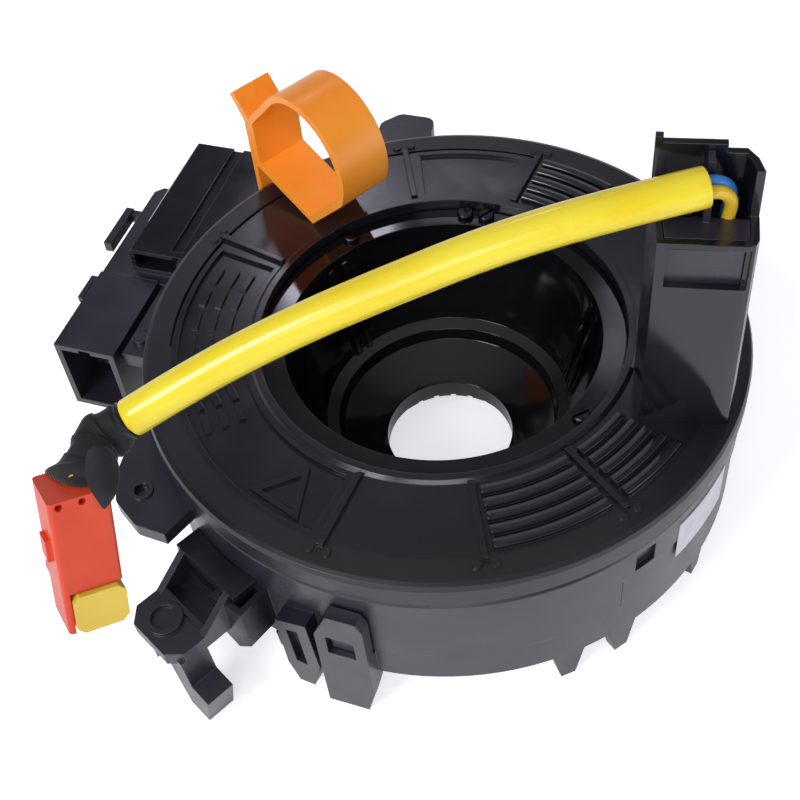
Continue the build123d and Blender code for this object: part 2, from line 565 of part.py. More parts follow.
def cancel_cam():
    """Ring round the cup's tube: it holds the rotor in the case and has a notched lower lip."""
    tube_gap = TUBE_OUT_R + FIT_GAP
    lip_top = BORE_TOP - BORE_LEN - FIT_GAP
    cam = spun([(CAM_LIP_R, CAM_BOTTOM), (CAM_OUT_R - 1.0, CAM_BOTTOM), (CAM_FLANGE_R, CAM_BOTTOM + 1.8),
                (CAM_FLANGE_R, -RUN_GAP), (CAM_OUT_R, -RUN_GAP), (CAM_OUT_R, 0.1), (tube_gap, 0.1),
                (tube_gap, lip_top), (CAM_LIP_R, lip_top)])
    for n in range(CAM_NOTCHES):
        cam -= Rot(0, 0, 360 * n / CAM_NOTCHES) * block((CAM_LIP_R - 1, CAM_LIP_R + 0.6), (-0.5, 0.5),
                                                        (CAM_BOTTOM - 1, CAM_BOTTOM + 0.7))
    key = on_floor([(CAM_LIP_R + 0.4, -2.6), (CAM_LIP_R + 0.4, 2.6), (7.6, 0)], CAM_BOTTOM, lip_top)
    return cam + Rot(0, 0, -118) * key


# ------------------------------------------------------------------ switch tower
TOWER = Plane(origin=(*TOWER_ORIGIN, 0), x_dir=polar(1, TOWER_TURN), z_dir=(0, 0, 1))


def tower_outline(width, inset=0.0):
    """Plan of the tower: straight front and back, the rim side drawn in towards the back."""
    face = make_face(Polyline([(0, 0), (width - TOWER_ROUND, 0), (width - 0.3 * TOWER_ROUND, 0.3 * TOWER_ROUND),
                               (width, TOWER_ROUND), (width + 0.1, 0.54 * TOWER_D), (width - 0.8, 0.82 * TOWER_D),
                               (width - 2.2, TOWER_D), (-TOWER_BACK_LEFT, TOWER_D)], close=True))
    return offset(face, -inset, kind=Kind.INTERSECTION) if inset else face


def tower_slab(face, low, high):
    return extrude(TOWER * Pos(0, 0, low) * face, high - low)


def tower_block(x, y, z):
    return TOWER.location * block(x, y, z)


def tower_housing():
    """Shell of the switch connector: high back and rim side, low front with a window."""
    foot_face = TOWER * Pos(0, 0, DISC_TOP) * tower_outline(TOWER_W)
    head_face = TOWER * Pos(0, 0, TOWER_BACK_TOP) * tower_outline(TOWER_HEAD_W)
    shell = loft([foot_face, head_face])
    shell -= tower_slab(tower_outline(TOWER_HEAD_W, TOWER_WALL), DISC_TOP + TOWER_WALL, TOWER_BACK_TOP + 1)
    inner_back = TOWER_D - TOWER_WALL
    right = TOWER_HEAD_W - 2.3
    shell -= tower_block((-4, right), (-1, inner_back), (TOWER_TOP, TOWER_BACK_TOP + 1))
    shell -= tower_block((right - 1, TOWER_W + 1), (-1, 0.56 * TOWER_D), (TOWER_TOP, TOWER_BACK_TOP + 1))
    shell -= tower_block((8.8, TOWER_W + 1), (-1, TOWER_D + 1), (TOWER_BACK_TOP - TOWER_STEP, TOWER_BACK_TOP + 1))
    low, high = TOWER_WINDOW
    shell -= tower_block((1.5, TOWER_HEAD_W - 0.8), (-1, TOWER_WALL + 0.05), (DISC_TOP + low, DISC_TOP + high))
    post = (-TOWER_BACK_LEFT, TOWER_WALL - TOWER_BACK_LEFT)
    shell += tower_block(post, (inner_back, TOWER_D), (TOWER_BACK_TOP - 2, TOWER_BACK_TOP + 1))
    return shell


def switch_connector():
    """Insert in the tower: a solid front block, a lower back, and a divider beside the wires."""
    inset = TOWER_WALL + FIT_GAP
    body = tower_slab(tower_outline(TOWER_HEAD_W, inset), DISC_TOP + TOWER_WALL, TOWER_TOP)
    body -= tower_block((-5, TOWER_W + 1), (INSERT_BACK, TOWER_D), (POCKET_FLOOR, TOWER_TOP + 1))
    divider = tower_block(DIVIDER_X, (INSERT_BACK - 1, TOWER_D - inset), (POCKET_FLOOR - 1, DISC_TOP + DIVIDER_H))
    divider -= tower_block((DIVIDER_X[0] - 1, DIVIDER_X[1] + 1), (0, INSERT_BACK + 1.6), (TOWER_TOP + 4, TOWER_BACK_TOP))
    return body + divider


def switch_terminals():
    pins = []
    for x in (1.8, 4.4):
        for y in (6.8, 8.4):
            pins.append(tower_block((x - PIN_W / 2, x + PIN_W / 2), (y - PIN_W / 2, y + PIN_W / 2),
                                    (POCKET_FLOOR, POCKET_FLOOR + 3)))
    return Compound(children=pins)


# ------------------------------------------------------------------ lock ring
def lock_plane():
    """Upright plane through the lock: x outwards from its corner, y up, z along its width."""
    c, s = cos(radians(LOCK_ANGLE)), sin(radians(LOCK_ANGLE))
    corner = (LOCK_R * c + LOCK_SHIFT * s, LOCK_R * s - LOCK_SHIFT * c, DISC_TOP)
    return Plane(origin=corner, x_dir=(c, s, 0), z_dir=(s, -c, 0))


def prong(away, grow=0.0):
    """A locking prong under the base, or its slot when grown."""
    half_w, half_t = LOCK_PRONG_W / 2 + grow, LOCK_PRONG_T / 2 + grow
    top = LOCK_RISE * away / LOCK_BASE + LOCK_T / 2
    outline = make_face(Polyline([(away - half_t, -DISC_T - 0.8 - 4 * grow), (away + half_t, -DISC_T - 0.8 - 4 * grow),
                                  (away + half_t, top), (away - half_t, top)], close=True))
    return extrude(lock_plane() * outline, half_w, both=True)


def lock_ring():
    """Band bent into a D with a pull tab, standing on the disc until the wheel is fitted."""
    corner = (0, 0.05)
    base_end = (LOCK_BASE, LOCK_RISE)
    leg_top = (LOCK_BASE, LOCK_LEG_TOP)
    centre_z, radius = LOCK_RING_Z, LOCK_RING_R
    touch_a = (radius * cos(radians(50)), centre_z + radius * sin(radians(50)))
    touch_b = (radius * cos(radians(208)), centre_z + radius * sin(radians(208)))
    crown = (radius * cos(radians(130)), centre_z + radius * sin(radians(130)))
    outline = make_face([Line(corner, base_end), Line(base_end, leg_top), Line(leg_top, touch_a),
                         ThreePointArc(touch_a, crown, touch_b), Line(touch_b, corner)])
    band = outline - offset(outline, -LOCK_T)
    leg_foot = COVER_TOP + 2 * RUN_GAP - DISC_TOP
    band += make_face(Polyline([(LOCK_BASE, leg_foot), (LOCK_BASE + LOCK_T, leg_foot),
                                (LOCK_BASE + LOCK_T, LOCK_LEG_TOP), (LOCK_BASE - LOCK_T, LOCK_LEG_TOP),
                                (LOCK_BASE - LOCK_T, LOCK_RISE + 1), (LOCK_BASE, LOCK_RISE)], close=True))
    ring = extrude(lock_plane() * band, LOCK_BAND_W / 2, both=True)
    tab = make_face(Polyline([(LOCK_BASE - LOCK_T, LOCK_LEG_TOP - 1), (LOCK_BASE + LOCK_T, LOCK_LEG_TOP - 1),
                              (LOCK_BASE + 4.6, LOCK_LEG_TOP + 3.4), (LOCK_BASE + 3.4, LOCK_LEG_TOP + 4.2)],
                             close=True))
    ring += extrude(lock_plane() * Pos(0, 0, -LOCK_BAND_W / 2) * tab, LOCK_TAB_W)
    for away in LOCK_PRONGS:
        ring += prong(away)
    return ring


# ------------------------------------------------------------------ airbag lead
LEAD_FROM = Vector(*TOWER_ORIGIN, DISC_TOP)      # the tower's front left corner, on the disc
PLUG_AT = LEAD_FROM + Vector(-67.4, -50.8, 23.1)     # middle of the plug's face at the wire end
PLUG_ACROSS = Vector(0.675, 0.704, -0.221)
PLUG_FACE = Vector(0.736, -0.623, 0.264)
PLUG = Plane(origin=PLUG_AT, x_dir=PLUG_ACROSS, z_dir=PLUG_FACE)
SLEEVE_STEPS = [(5.1, 5.6, 44.9), (-7.6, -1.8, 44.1), (-19.6, -8.7, 42.3), (-31.7, -15.7, 38.8),
                (-44.2, -22.7, 34.4), (-57.2, -30.2, 28.5), (-68.3, -37.8, 22.3)]
SLEEVE_ROUTE = [LEAD_FROM + Vector(*step) for step in SLEEVE_STEPS]
TAIL_POINT = LEAD_FROM + Vector(-72.6, -43.4, 22.5)  # where the lead turns down to the plug
POCKET_X = 9.5                           # the wires' place in the tower's pocket
POCKET_Y = (6.65, 8.8)
WIRE_RISE = ((0.0, 0.0, -9.8), (-0.1, 0.18, -6.8), (0.0, 0.6, -3.4), (1.1, 0.86, -1.3),
             (3.0, 1.0, -0.1))           # forwards, share of the sideways shift, height from the mouth


def rounded_path(points):
    """Straight runs joined by tangent arcs, each as large as its two runs allow."""
    corners = list(points)
    radii = []
    for before, at, after in zip(corners, corners[1:], corners[2:]):
        turn = radians((at - before).get_angle(after - at))
        shorter = min((at - before).length, (after - at).length)
        radii.append(0.45 * shorter / tan(turn / 2))
    return FilletPolyline(*corners, radius=radii), radii


def swept_tube(path, radius):
    section = Plane(origin=path @ 0, z_dir=path % 0) * Circle(radius)
    return sweep(section, path=path)


def square_to(direction, axis):
    """The part of a direction at right angles to an axis, as a unit vector."""
    axis = axis.normalized()
    return (direction - axis * direction.dot(axis)).normalized()


def plug_entry():
    """Middle of the plug's upper end, where the wires go in."""
    return PLUG_AT - PLUG_FACE * (PLUG_D / 2) + PLUG.y_dir * PLUG_ABOVE


def wire_points(side):
    """Route of one wire: out of the pocket, along the sleeve, through the tape, to the plug."""
    foot = (TOWER.location * Pos(POCKET_X, POCKET_Y[side], 0)).position
    run = SLEEVE_ROUTE[1] - SLEEVE_ROUTE[0]
    ahead = Vector(run.X, run.Y, 0).normalized()
    beside = Vector(run.Y, -run.X, 0).normalized()
    spread = beside * ((side - 0.5) * WIRE_SPREAD)
    mouth = SLEEVE_ROUTE[0] + spread
    foot = Vector(foot.X, foot.Y, mouth.Z)
    gap = mouth - foot
    stretch = gap.dot(ahead) / 3.95
    rise = [foot + ahead * (step * stretch) + beside * (share * gap.dot(beside)) + Vector(0, 0, height)
            for step, share, height in WIRE_RISE]
    first = [mouth + run.normalized() * 3.0 + Vector(0, 0, 0.05), mouth + run.normalized() * 8.0 + Vector(0, 0, 0.1)]
    arriving = (TAIL_POINT - SLEEVE_ROUTE[-1]).normalized()
    leaving = (plug_entry() - TAIL_POINT).normalized()
    at_plug = square_to(PLUG_FACE * -1, leaving)
    at_tail = square_to(beside + at_plug, arriving + leaving)
    tail = TAIL_POINT + at_tail * ((side - 0.5) * WIRE_SPREAD)
    last = plug_entry() + at_plug * ((side - 0.5) * WIRE_SPREAD)
    return rise + first + [p + spread for p in SLEEVE_ROUTE[1:]] + [tail, last]


def wire(side):
    path, radii = rounded_path(wire_points(side))
    solid = swept_tube(path, WIRE_R)
    print("wire", side, "length", round(path.length, 1), "radii", [round(r, 1) for r in radii],
          "volume over section times length", round(solid.volume / (path.length * pi * WIRE_R ** 2), 4))
    return solid


def yellow_sleeve():
    path, radii = rounded_path(SLEEVE_ROUTE)
    print("sleeve length", round(path.length, 1), "radii", [round(r, 1) for r in radii])
    return swept_tube(path, SLEEVE_R) - swept_tube(path, SLEEVE_BORE_R)


def tape_wrap(wires):
    """Cloth tape wound over the wires from the sleeve's end to the plug."""
    end = SLEEVE_ROUTE[-1]
    axis = (end - SLEEVE_ROUTE[-2]).normalized()
    down = PLUG.y_dir * -1
    sections = [(end, axis, SLEEVE_R + 0.3, SLEEVE_R + 0.3),
                (TAIL_POINT, (axis + down).normalized(), 0.34 * TAPE_W, 0.46 * TAPE_D),
                (plug_entry() + PLUG.y_dir * FIT_GAP, down, TAPE_W / 2, TAPE_D / 2)]
    rings = []
    for at, along, half_w, half_d in sections:
        across = PLUG_ACROSS - along * PLUG_ACROSS.dot(along)
        turns = [2 * pi * n / TAPE_SIDES for n in range(TAPE_SIDES)]
        outline = make_face(Polyline([(half_w * cos(t), half_d * sin(t)) for t in turns], close=True))
        rings.append(Plane(origin=at, z_dir=along, x_dir=across) * outline)
    tape = loft(rings, ruled=True)
    for piece in wires:
        tape -= piece
    return tape


def plug_block(x, y, z):
    return PLUG.location * block(x, y, z)


def plug_housing(wires):
    """Airbag plug: a flat body that hangs on the wires, with its round nose on the far side."""
    half = PLUG_W / 2
    body = plug_block((-half, half), (PLUG_ABOVE - PLUG_L, PLUG_ABOVE), (-PLUG_D, 0))
    body = fillet(body.edges().filter_by(Axis(PLUG_AT, PLUG.y_dir)), 0.7)
    nose_at = PLUG_ABOVE - PLUG_L + BARREL_R + 0.8
    nose = PLUG.location * Pos(0, nose_at, -PLUG_D - BARREL_L / 2) * Cylinder(BARREL_R, BARREL_L)
    nose -= PLUG.location * Pos(0, nose_at, -PLUG_D - BARREL_L / 2) * Cylinder(BARREL_R - PLUG_WALL, BARREL_L)
    body += nose
    key_low = PLUG_ABOVE - PLUG_L - 1
    body -= plug_block((KEY_X[0] - FIT_GAP, half + 1), (key_low, PLUG_ABOVE - PLUG_L + KEY_L + RUN_GAP),
                       (KEY_PROUD - KEY_T - KEY_TRAVEL - 0.2, 1))
    for x in (-2.9, 0.4):
        body -= PLUG.location * Pos(x, -0.9, -0.6) * Cylinder(0.55, 1.6)
    body += plug_block((-half - 0.7, -half + 0.2), (-11.0, -7.4), (-5.4, -2.6))
    for piece in wires:
        body -= piece
    return body


def plug_contacts():
    """Two contact sleeves in the plug's round nose."""
    nose_at = PLUG_ABOVE - PLUG_L + BARREL_R + 0.8
    pair = []
    for x in (-1.2, 1.2):
        pin = PLUG.location * Pos(x, nose_at, -PLUG_D - BARREL_L / 2) * Cylinder(0.5, BARREL_L)
        pair.append(pin)
    return Compound(children=pair)


def plug_lock():
    """Yellow key that is pressed into the plug once it is mated."""
    low = PLUG_ABOVE - PLUG_L + 0.2
    key = plug_block(KEY_X, (low, PLUG_ABOVE - PLUG_L + KEY_L), (KEY_PROUD - KEY_T, KEY_PROUD))
    return chamfer(key.edges().filter_by(Axis(PLUG_AT, PLUG_FACE)), 1.0)


# ------------------------------------------------------------------ write the sub-parts
def main():
    wires = [wire(0), wire(1)]
    nodes = {
        "lower_case": lower_case(),
        "upper_case": upper_case(),
        "connector_body": connector_body(),
        "harness_terminals": harness_terminals(),
        "terminal_cover": terminal_cover(),
        "flat_cable": flat_cable(),
        "stator_lead_block": lead_block(CASE_IN_R - LEAD_T - FIT_GAP, 0.0),
        "rotor_lead_block": lead_block(HUB_R + FIT_GAP, 0.0),
        "blank_label": blank_label(),
        "rotor_disc": rotor_disc(),
        "hub_cup": hub_cup(),
        "hub_screws": hub_screws(),
        "cancel_cam": cancel_cam(),
        "tower_housing": tower_housing(),
        "switch_connector": switch_connector(),
        "switch_terminals": switch_terminals(),
        "lock_ring": lock_ring(),
        "yellow_wire": wires[0],
        "blue_wire": wires[1],
        "yellow_sleeve": yellow_sleeve(),
        "tape_wrap": tape_wrap(wires),
        "plug_housing": plug_housing(wires),
        "plug_contacts": plug_contacts(),
        "plug_lock": plug_lock(),
    }
    os.makedirs("parts", exist_ok=True)
    for name, solid in nodes.items():
        export_step(solid, f"parts/{name}.step")


main()
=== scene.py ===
import math

import bmesh
import bpy
from mathutils import Matrix, Vector, noise


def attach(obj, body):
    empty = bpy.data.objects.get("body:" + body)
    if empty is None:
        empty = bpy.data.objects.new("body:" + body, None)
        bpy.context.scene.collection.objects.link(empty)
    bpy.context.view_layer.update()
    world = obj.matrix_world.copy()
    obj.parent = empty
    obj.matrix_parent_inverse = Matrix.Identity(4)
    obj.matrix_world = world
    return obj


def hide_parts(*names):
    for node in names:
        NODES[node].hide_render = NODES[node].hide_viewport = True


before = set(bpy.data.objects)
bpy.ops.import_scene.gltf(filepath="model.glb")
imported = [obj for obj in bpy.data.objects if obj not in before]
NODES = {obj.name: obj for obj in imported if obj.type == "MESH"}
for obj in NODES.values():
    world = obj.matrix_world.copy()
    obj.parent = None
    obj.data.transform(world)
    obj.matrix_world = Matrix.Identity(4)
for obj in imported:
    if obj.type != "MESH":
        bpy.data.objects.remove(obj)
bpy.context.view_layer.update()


# ---------------------------------------------------------------- camera
# The viewpoint is in front, to the right and well above, with a 58.5 mm lens on a 36 mm frame. The
# three rows are the camera's right, down and forward directions.
camera_data = bpy.data.cameras.new("studio_camera")
camera_data.lens = 58.5
camera_data.sensor_width = 36.0
camera_data.clip_end = 5.0
camera = bpy.data.objects.new("studio_camera", camera_data)
bpy.context.scene.collection.objects.link(camera)
right = (0.94596, 0.31482, -0.07779)
down = (0.19590, -0.74593, -0.63656)
ahead = (-0.25843, 0.58692, -0.76729)
place = Matrix((right, [-v for v in down], [-v for v in ahead])).transposed().to_4x4()
place.translation = (0.053216, -0.142331, 0.193010)
camera.matrix_world = place
bpy.context.scene.camera = camera


# ---------------------------------------------------------------- airbag wires
# Two stranded copper wires in thin PVC insulation, one yellow and one blue, 1.9 mm across. They rise
# from the switch tower's pocket, bend into the sleeve and end in the airbag plug.
def linear(code):
    """A colour written as sRGB hex, in the linear values that sockets take."""
    parts = [int(code[i:i + 2], 16) / 255 for i in (1, 3, 5)]
    return tuple(c / 12.92 if c <= 0.04045 else ((c + 0.055) / 1.055) ** 2.4 for c in parts) + (1.0,)


def add_node(owner, kind, settings=None, **sockets):
    """One node: its own settings, and its inputs as values or as another node's output.

    An input is called by its name, with _ for a blank, or by i and its number.
    """
    tree = getattr(owner, "node_tree", owner)
    made = tree.nodes.new(kind)
    for name, value in (settings or {}).items():
        setattr(made, name, value)
    for name, value in sockets.items():
        socket = made.inputs[int(name[1:])] if name[0] == "i" and name[1:].isdigit() else \
            made.inputs[name.replace("_", " ")]
        if isinstance(value, bpy.types.NodeSocket):
            tree.links.new(value, socket)
        else:
            socket.default_value = value
    return made


def new_finish(name, colour, roughness, ior=1.5, metallic=0.0, coat=0.0):
    """A material with one surface shader, ready for its patterns."""
    material = bpy.data.materials.new(name)
    material.use_nodes = True
    shader = material.node_tree.nodes["Principled BSDF"]
    shader.inputs["Base Color"].default_value = linear(colour)
    shader.inputs["Roughness"].default_value = roughness
    shader.inputs["IOR"].default_value = ior
    shader.inputs["Metallic"].default_value = metallic
    shader.inputs["Coat Weight"].default_value = coat
    return material, shader


def mottle(material, shader, dark, light, size_mm):
    """Slow variation of colour on a pattern of about size_mm. Returns the pattern's coordinates."""
    where = add_node(material, "ShaderNodeTexCoord")
    cloud = add_node(material, "ShaderNodeTexNoise", Vector=where.outputs["Object"], Scale=1000.0 / size_mm,
                     Detail=3.0)
    ramp = add_node(material, "ShaderNodeValToRGB", Fac=cloud.outputs["Fac"])
    ramp.color_ramp.elements[0].position, ramp.color_ramp.elements[1].position = 0.34, 0.66
    ramp.color_ramp.elements[0].color, ramp.color_ramp.elements[1].color = linear(dark), linear(light)
    material.node_tree.links.new(ramp.outputs["Color"], shader.inputs["Base Color"])
    return where


def satin(material, shader, where, low, high, size_mm):
    """Roughness that wanders slowly between two values."""
    cloud = add_node(material, "ShaderNodeTexNoise", Vector=where.outputs["Object"], Scale=1000.0 / size_mm,
                     Detail=5.0)
    span = add_node(material, "ShaderNodeMapRange", Value=cloud.outputs["Fac"])
    span.inputs["From Min"].default_value, span.inputs["From Max"].default_value = 0.3, 0.7
    span.inputs["To Min"].default_value, span.inputs["To Max"].default_value = low, high
    material.node_tree.links.new(span.outputs["Result"], shader.inputs["Roughness"])


def fine_bump(material, shader, where, size_mm, height_mm, strength):
    """Surface grain of about size_mm."""
    grain = add_node(material, "ShaderNodeTexNoise", Vector=where.outputs["Object"], Scale=1000.0 / size_mm,
                     Detail=2.0)
    bump = add_node(material, "ShaderNodeBump", Strength=strength, Distance=height_mm / 1000.0,
                    Height=grain.outputs["Fac"])
    material.node_tree.links.new(bump.outputs["Normal"], shader.inputs["Normal"])
    return bump


def routed_curve(name, points, radius, body):
    """A smooth curve led by a route in metres: a wire of this radius, or for 0 the bare line."""
    data = bpy.data.curves.new(name, "CURVE")
    data.dimensions = "3D"
    data.bevel_depth = 1.0 if radius else 0.0  # scaled by each knot's own radius
    data.bevel_resolution = 6
    data.resolution_u = 14
    data.use_fill_caps = True
    spline = data.splines.new("NURBS")
    spline.points.add(len(points) - 1)
    for knot, point in zip(spline.points, points):
        knot.co = (*point, 1.0)
        knot.radius = radius
    spline.order_u = 3
    spline.use_endpoint_u = True
    made = bpy.data.objects.new(name, data)
    bpy.context.scene.collection.objects.link(made)
    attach(made, body)
    return made


def wire_pvc(name, dark, light):
    """Extruded PVC: satin, faintly waxy, with a slow change of tone along the wire."""
    material, shader = new_finish(name, light, 0.36, 1.53)
    where = mottle(material, shader, dark, light, 6.0)
    fine_bump(material, shader, where, 0.5, 0.02, 0.5)
    shader.inputs["Subsurface Weight"].default_value = 0.05
    shader.inputs["Subsurface Radius"].default_value = (0.001, 0.0008, 0.0004)
    return material


WIRE_RADIUS = 0.00095
YELLOW_ROUTE = ((0.04444, -0.00324, 0.0646), (0.0447, -0.00348, 0.0676), (0.045, -0.0042, 0.071),
                (0.04428, -0.00517, 0.0731), (0.04277, -0.00635, 0.0743), (0.03935, -0.00834, 0.07429),
                (0.03504, -0.01085, 0.07407), (0.02924, -0.01423, 0.0736), (0.01724, -0.02113, 0.0718),
                (0.00514, -0.02813, 0.0683), (-0.00736, -0.03513, 0.0639), (-0.02036, -0.04263, 0.058),
                (-0.03146, -0.05023, 0.0518), (-0.03535, -0.05502, 0.05248), (-0.03327, -0.05951, 0.05223))
BLUE_ROUTE = ((0.04406, -0.00113, 0.0646), (0.04431, -0.00134, 0.0676), (0.04457, -0.00202, 0.071),
              (0.04367, -0.00306, 0.0731), (0.04183, -0.0044, 0.0743), (0.03827, -0.00648, 0.07429),
              (0.03396, -0.00899, 0.07407), (0.02816, -0.01237, 0.0736), (0.01616, -0.01927, 0.0718),
              (0.00406, -0.02627, 0.0683), (-0.00844, -0.03327, 0.0639), (-0.02144, -0.04077, 0.058),
              (-0.03254, -0.04837, 0.0518), (-0.03725, -0.05478, 0.05152), (-0.03482, -0.0601, 0.05086))
yellow_wire = routed_curve("airbag_wire_yellow", YELLOW_ROUTE, WIRE_RADIUS, "rotor")
yellow_wire.data.materials.append(wire_pvc("extruded_pvc_yellow", "#e8bf20", "#f7da48"))
blue_wire = routed_curve("airbag_wire_blue", BLUE_ROUTE, WIRE_RADIUS, "rotor")
blue_wire.data.materials.append(wire_pvc("extruded_pvc_blue", "#2f7fd6", "#57a0ee"))


# ---------------------------------------------------------------- yellow sleeve
# Soft vinyl tube over both wires, 5.8 mm outside with a wall of 0.65 mm, cut square at its ends.
# It is held by the tape at the plug's end and lies loose on the wires at the other.
def centre_line(route, steps):
    """Points read from the route's own smooth curve."""
    curve = routed_curve("line", route, 0.0, "rotor")
    curve.data.resolution_u = steps
    mesh = bpy.data.meshes.new_from_object(curve.evaluated_get(bpy.context.evaluated_depsgraph_get()))
    points = [v.co.copy() for v in mesh.vertices]
    bpy.data.objects.remove(curve)
    return points


def ring_tube(name, rings, close_ends):
    """A closed mesh from rings of points, each with as many points as the next."""
    mesh = bmesh.new()
    made = [[mesh.verts.new(p) for p in ring] for ring in rings]
    count = len(made[0])
    for a, b in zip(made, made[1:]):
        for i in range(count):
            j = (i + 1) % count
            mesh.faces.new((a[i], a[j], b[j], b[i]))
    if close_ends:
        mesh.faces.new(made[0][::-1])
        mesh.faces.new(made[-1])
    bmesh.ops.recalc_face_normals(mesh, faces=mesh.faces)
    data = bpy.data.meshes.new(name)
    mesh.to_mesh(data)
    mesh.free()
    for face in data.polygons:
        face.use_smooth = True
    piece = bpy.data.objects.new(name, data)
    bpy.context.scene.collection.objects.link(piece)
    return piece


def frames_along(points):
    """Each point with two steady directions across the line."""
    side = Vector((0, 0, 1))
    for i, p in enumerate(points):
        ahead = (points[min(i + 1, len(points) - 1)] - points[max(i - 1, 0)]).normalized()
        side = (side - ahead * side.dot(ahead)).normalized()
        yield p, side, ahead.cross(side)


SLEEVE_ROUTE = ((0.0414, -0.0059, 0.0744), (0.0287, -0.0133, 0.0736), (0.0167, -0.0202, 0.0718),
                (0.0046, -0.0272, 0.0683), (-0.0079, -0.0342, 0.0639), (-0.0209, -0.0417, 0.058),
                (-0.0302, -0.0480, 0.0528))
SLEEVE_OUT, SLEEVE_IN, SLEEVE_SIDES = 0.0029, 0.00225, 40
# the share by which one width grows as the other shrinks, and how many such changes a metre holds
OUT_OF_ROUND, ROUND_RATE = 0.012, 120
turns = [2 * math.pi * i / SLEEVE_SIDES for i in range(SLEEVE_SIDES)]
rings = []
sleeve_line = list(frames_along(centre_line(SLEEVE_ROUTE, 12)))
for p, side, other in sleeve_line:
    squeeze = 1 + OUT_OF_ROUND * noise.noise(p * ROUND_RATE)
    rings.append([p + side * SLEEVE_OUT * squeeze * math.cos(t) + other * SLEEVE_OUT / squeeze * math.sin(t)
                  for t in turns])
for p, side, other in reversed(sleeve_line):
    rings.append([p + side * SLEEVE_IN * math.cos(t) + other * SLEEVE_IN * math.sin(t) for t in turns])
rings.append(rings[0])
sleeve = ring_tube("vinyl_sleeve", rings, close_ends=False)
weld = sleeve.modifiers.new("weld", "WELD")
weld.merge_threshold = 0.00001
edge = sleeve.modifiers.new("edge", "BEVEL")
edge.width, edge.segments, edge.limit_method, edge.angle_limit = 0.0002, 2, "ANGLE", 1.0
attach(sleeve, "rotor")
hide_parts("yellow_sleeve")

# Soft PVC tube: saturated yellow, glossy, with light scattered a little inside its wall.
vinyl, shader = new_finish("plasticised_pvc_tube", "#fbe433", 0.28, 1.52, coat=0.15)
where = mottle(vinyl, shader, "#f7dc24", "#fce83e", 14.0)
satin(vinyl, shader, where, 0.2, 0.3, 5.0)
fine_bump(vinyl, shader, where, 1.6, 0.05, 0.35)
shader.inputs["Subsurface Weight"].default_value = 0.12
shader.inputs["Subsurface Radius"].default_value = (0.0016, 0.0012, 0.0003)
sleeve.data.materials.append(vinyl)

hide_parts("yellow_wire")
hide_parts("blue_wire")


# ---------------------------------------------------------------- cloth tape
# Black polyester cloth tape, wound loosely from the sleeve's end over the wires to the plug. It
# flares and creases over the plug's top, and its last end hangs over the front as a tongue.
PLUG_TOP = Vector((-0.0311, -0.0623, 0.0526))
PLUG_ACROSS = Vector((0.675, 0.704, -0.221)).normalized()
PLUG_FACE = Vector((0.736, -0.623, 0.264)).normalized()
PLUG_UP = PLUG_FACE.cross(PLUG_ACROSS)


def by_plug(across, up, out):
    """A point given in millimetres across, up and out of the plug's face, from its top edge."""
    return PLUG_TOP + (PLUG_ACROSS * across + PLUG_UP * up + PLUG_FACE * out) / 1000


# Places along the wrap from the sleeve to the plug's top: its two edges as seen from the front, how
# far it stands out in front and behind in millimetres, and how much its left edge is pressed flat.
TURNS = ((by_plug(8.5, 7.05, -8.0), by_plug(11.9, 2.45, -8.7), 2.9, 2.9, 0.0),
         (by_plug(7.6, 6.9, -8.5), by_plug(10.9, 0.9, -8.9), 2.9, 2.9, 0.05),
         (by_plug(6.1, 6.7, -8.8), by_plug(9.3, -1.2, -9.0), 2.6, 3.0, 0.1),
         (by_plug(4.4, 6.2, -8.7), by_plug(8.4, -1.2, -8.8), 2.7, 3.3, 0.1),
         (by_plug(2.7, 5.1, -8.0), by_plug(7.3, -0.3, -7.6), 2.6, 3.6, 0.2),
         (by_plug(1.7, 4.0, -7.3), by_plug(7.0, -0.1, -5.2), 2.7, 3.9, 0.35),
         (by_plug(0.1, 1.9, -7.8), by_plug(6.8, 0.1, -3.2), 3.0, 3.6, 0.5),
         (by_plug(-2.3, 0.25, -8.3), by_plug(6.2, 0.15, -1.9), 3.3, 3.1, 0.55))
TURN_STEPS, RING_POINTS = 7, 56
# heights in metres of the tape's overlapping edge, its creases and its fine crumple, how far all
# of them are set back, and over how many rings they fade out at each end
OVERLAP, CREASE, CRUMPLE, SUNK, EASE = 0.00034, 0.00055, 0.00018, 0.0004, 4
# how full a ring's outline is (1 for an ellipse, less for a squarer one), how fast the pressing
# fades away from the left edge, and how many times the overlap goes round between two of TURNS
FULLNESS, PRESS_FADE, WIND = 0.86, 1.4, 0.62
CREASE_RATE, CRUMPLE_RATE = 210, 620  # about how many of them a metre holds


def between(before, start, stop, after, t):
    """A smooth value on the way from start to stop."""
    return 0.5 * ((2 * start) + (stop - before) * t + (2 * before - 5 * start + 4 * stop - after) * t * t
                  + (3 * start - before - 3 * stop + after) * t ** 3)


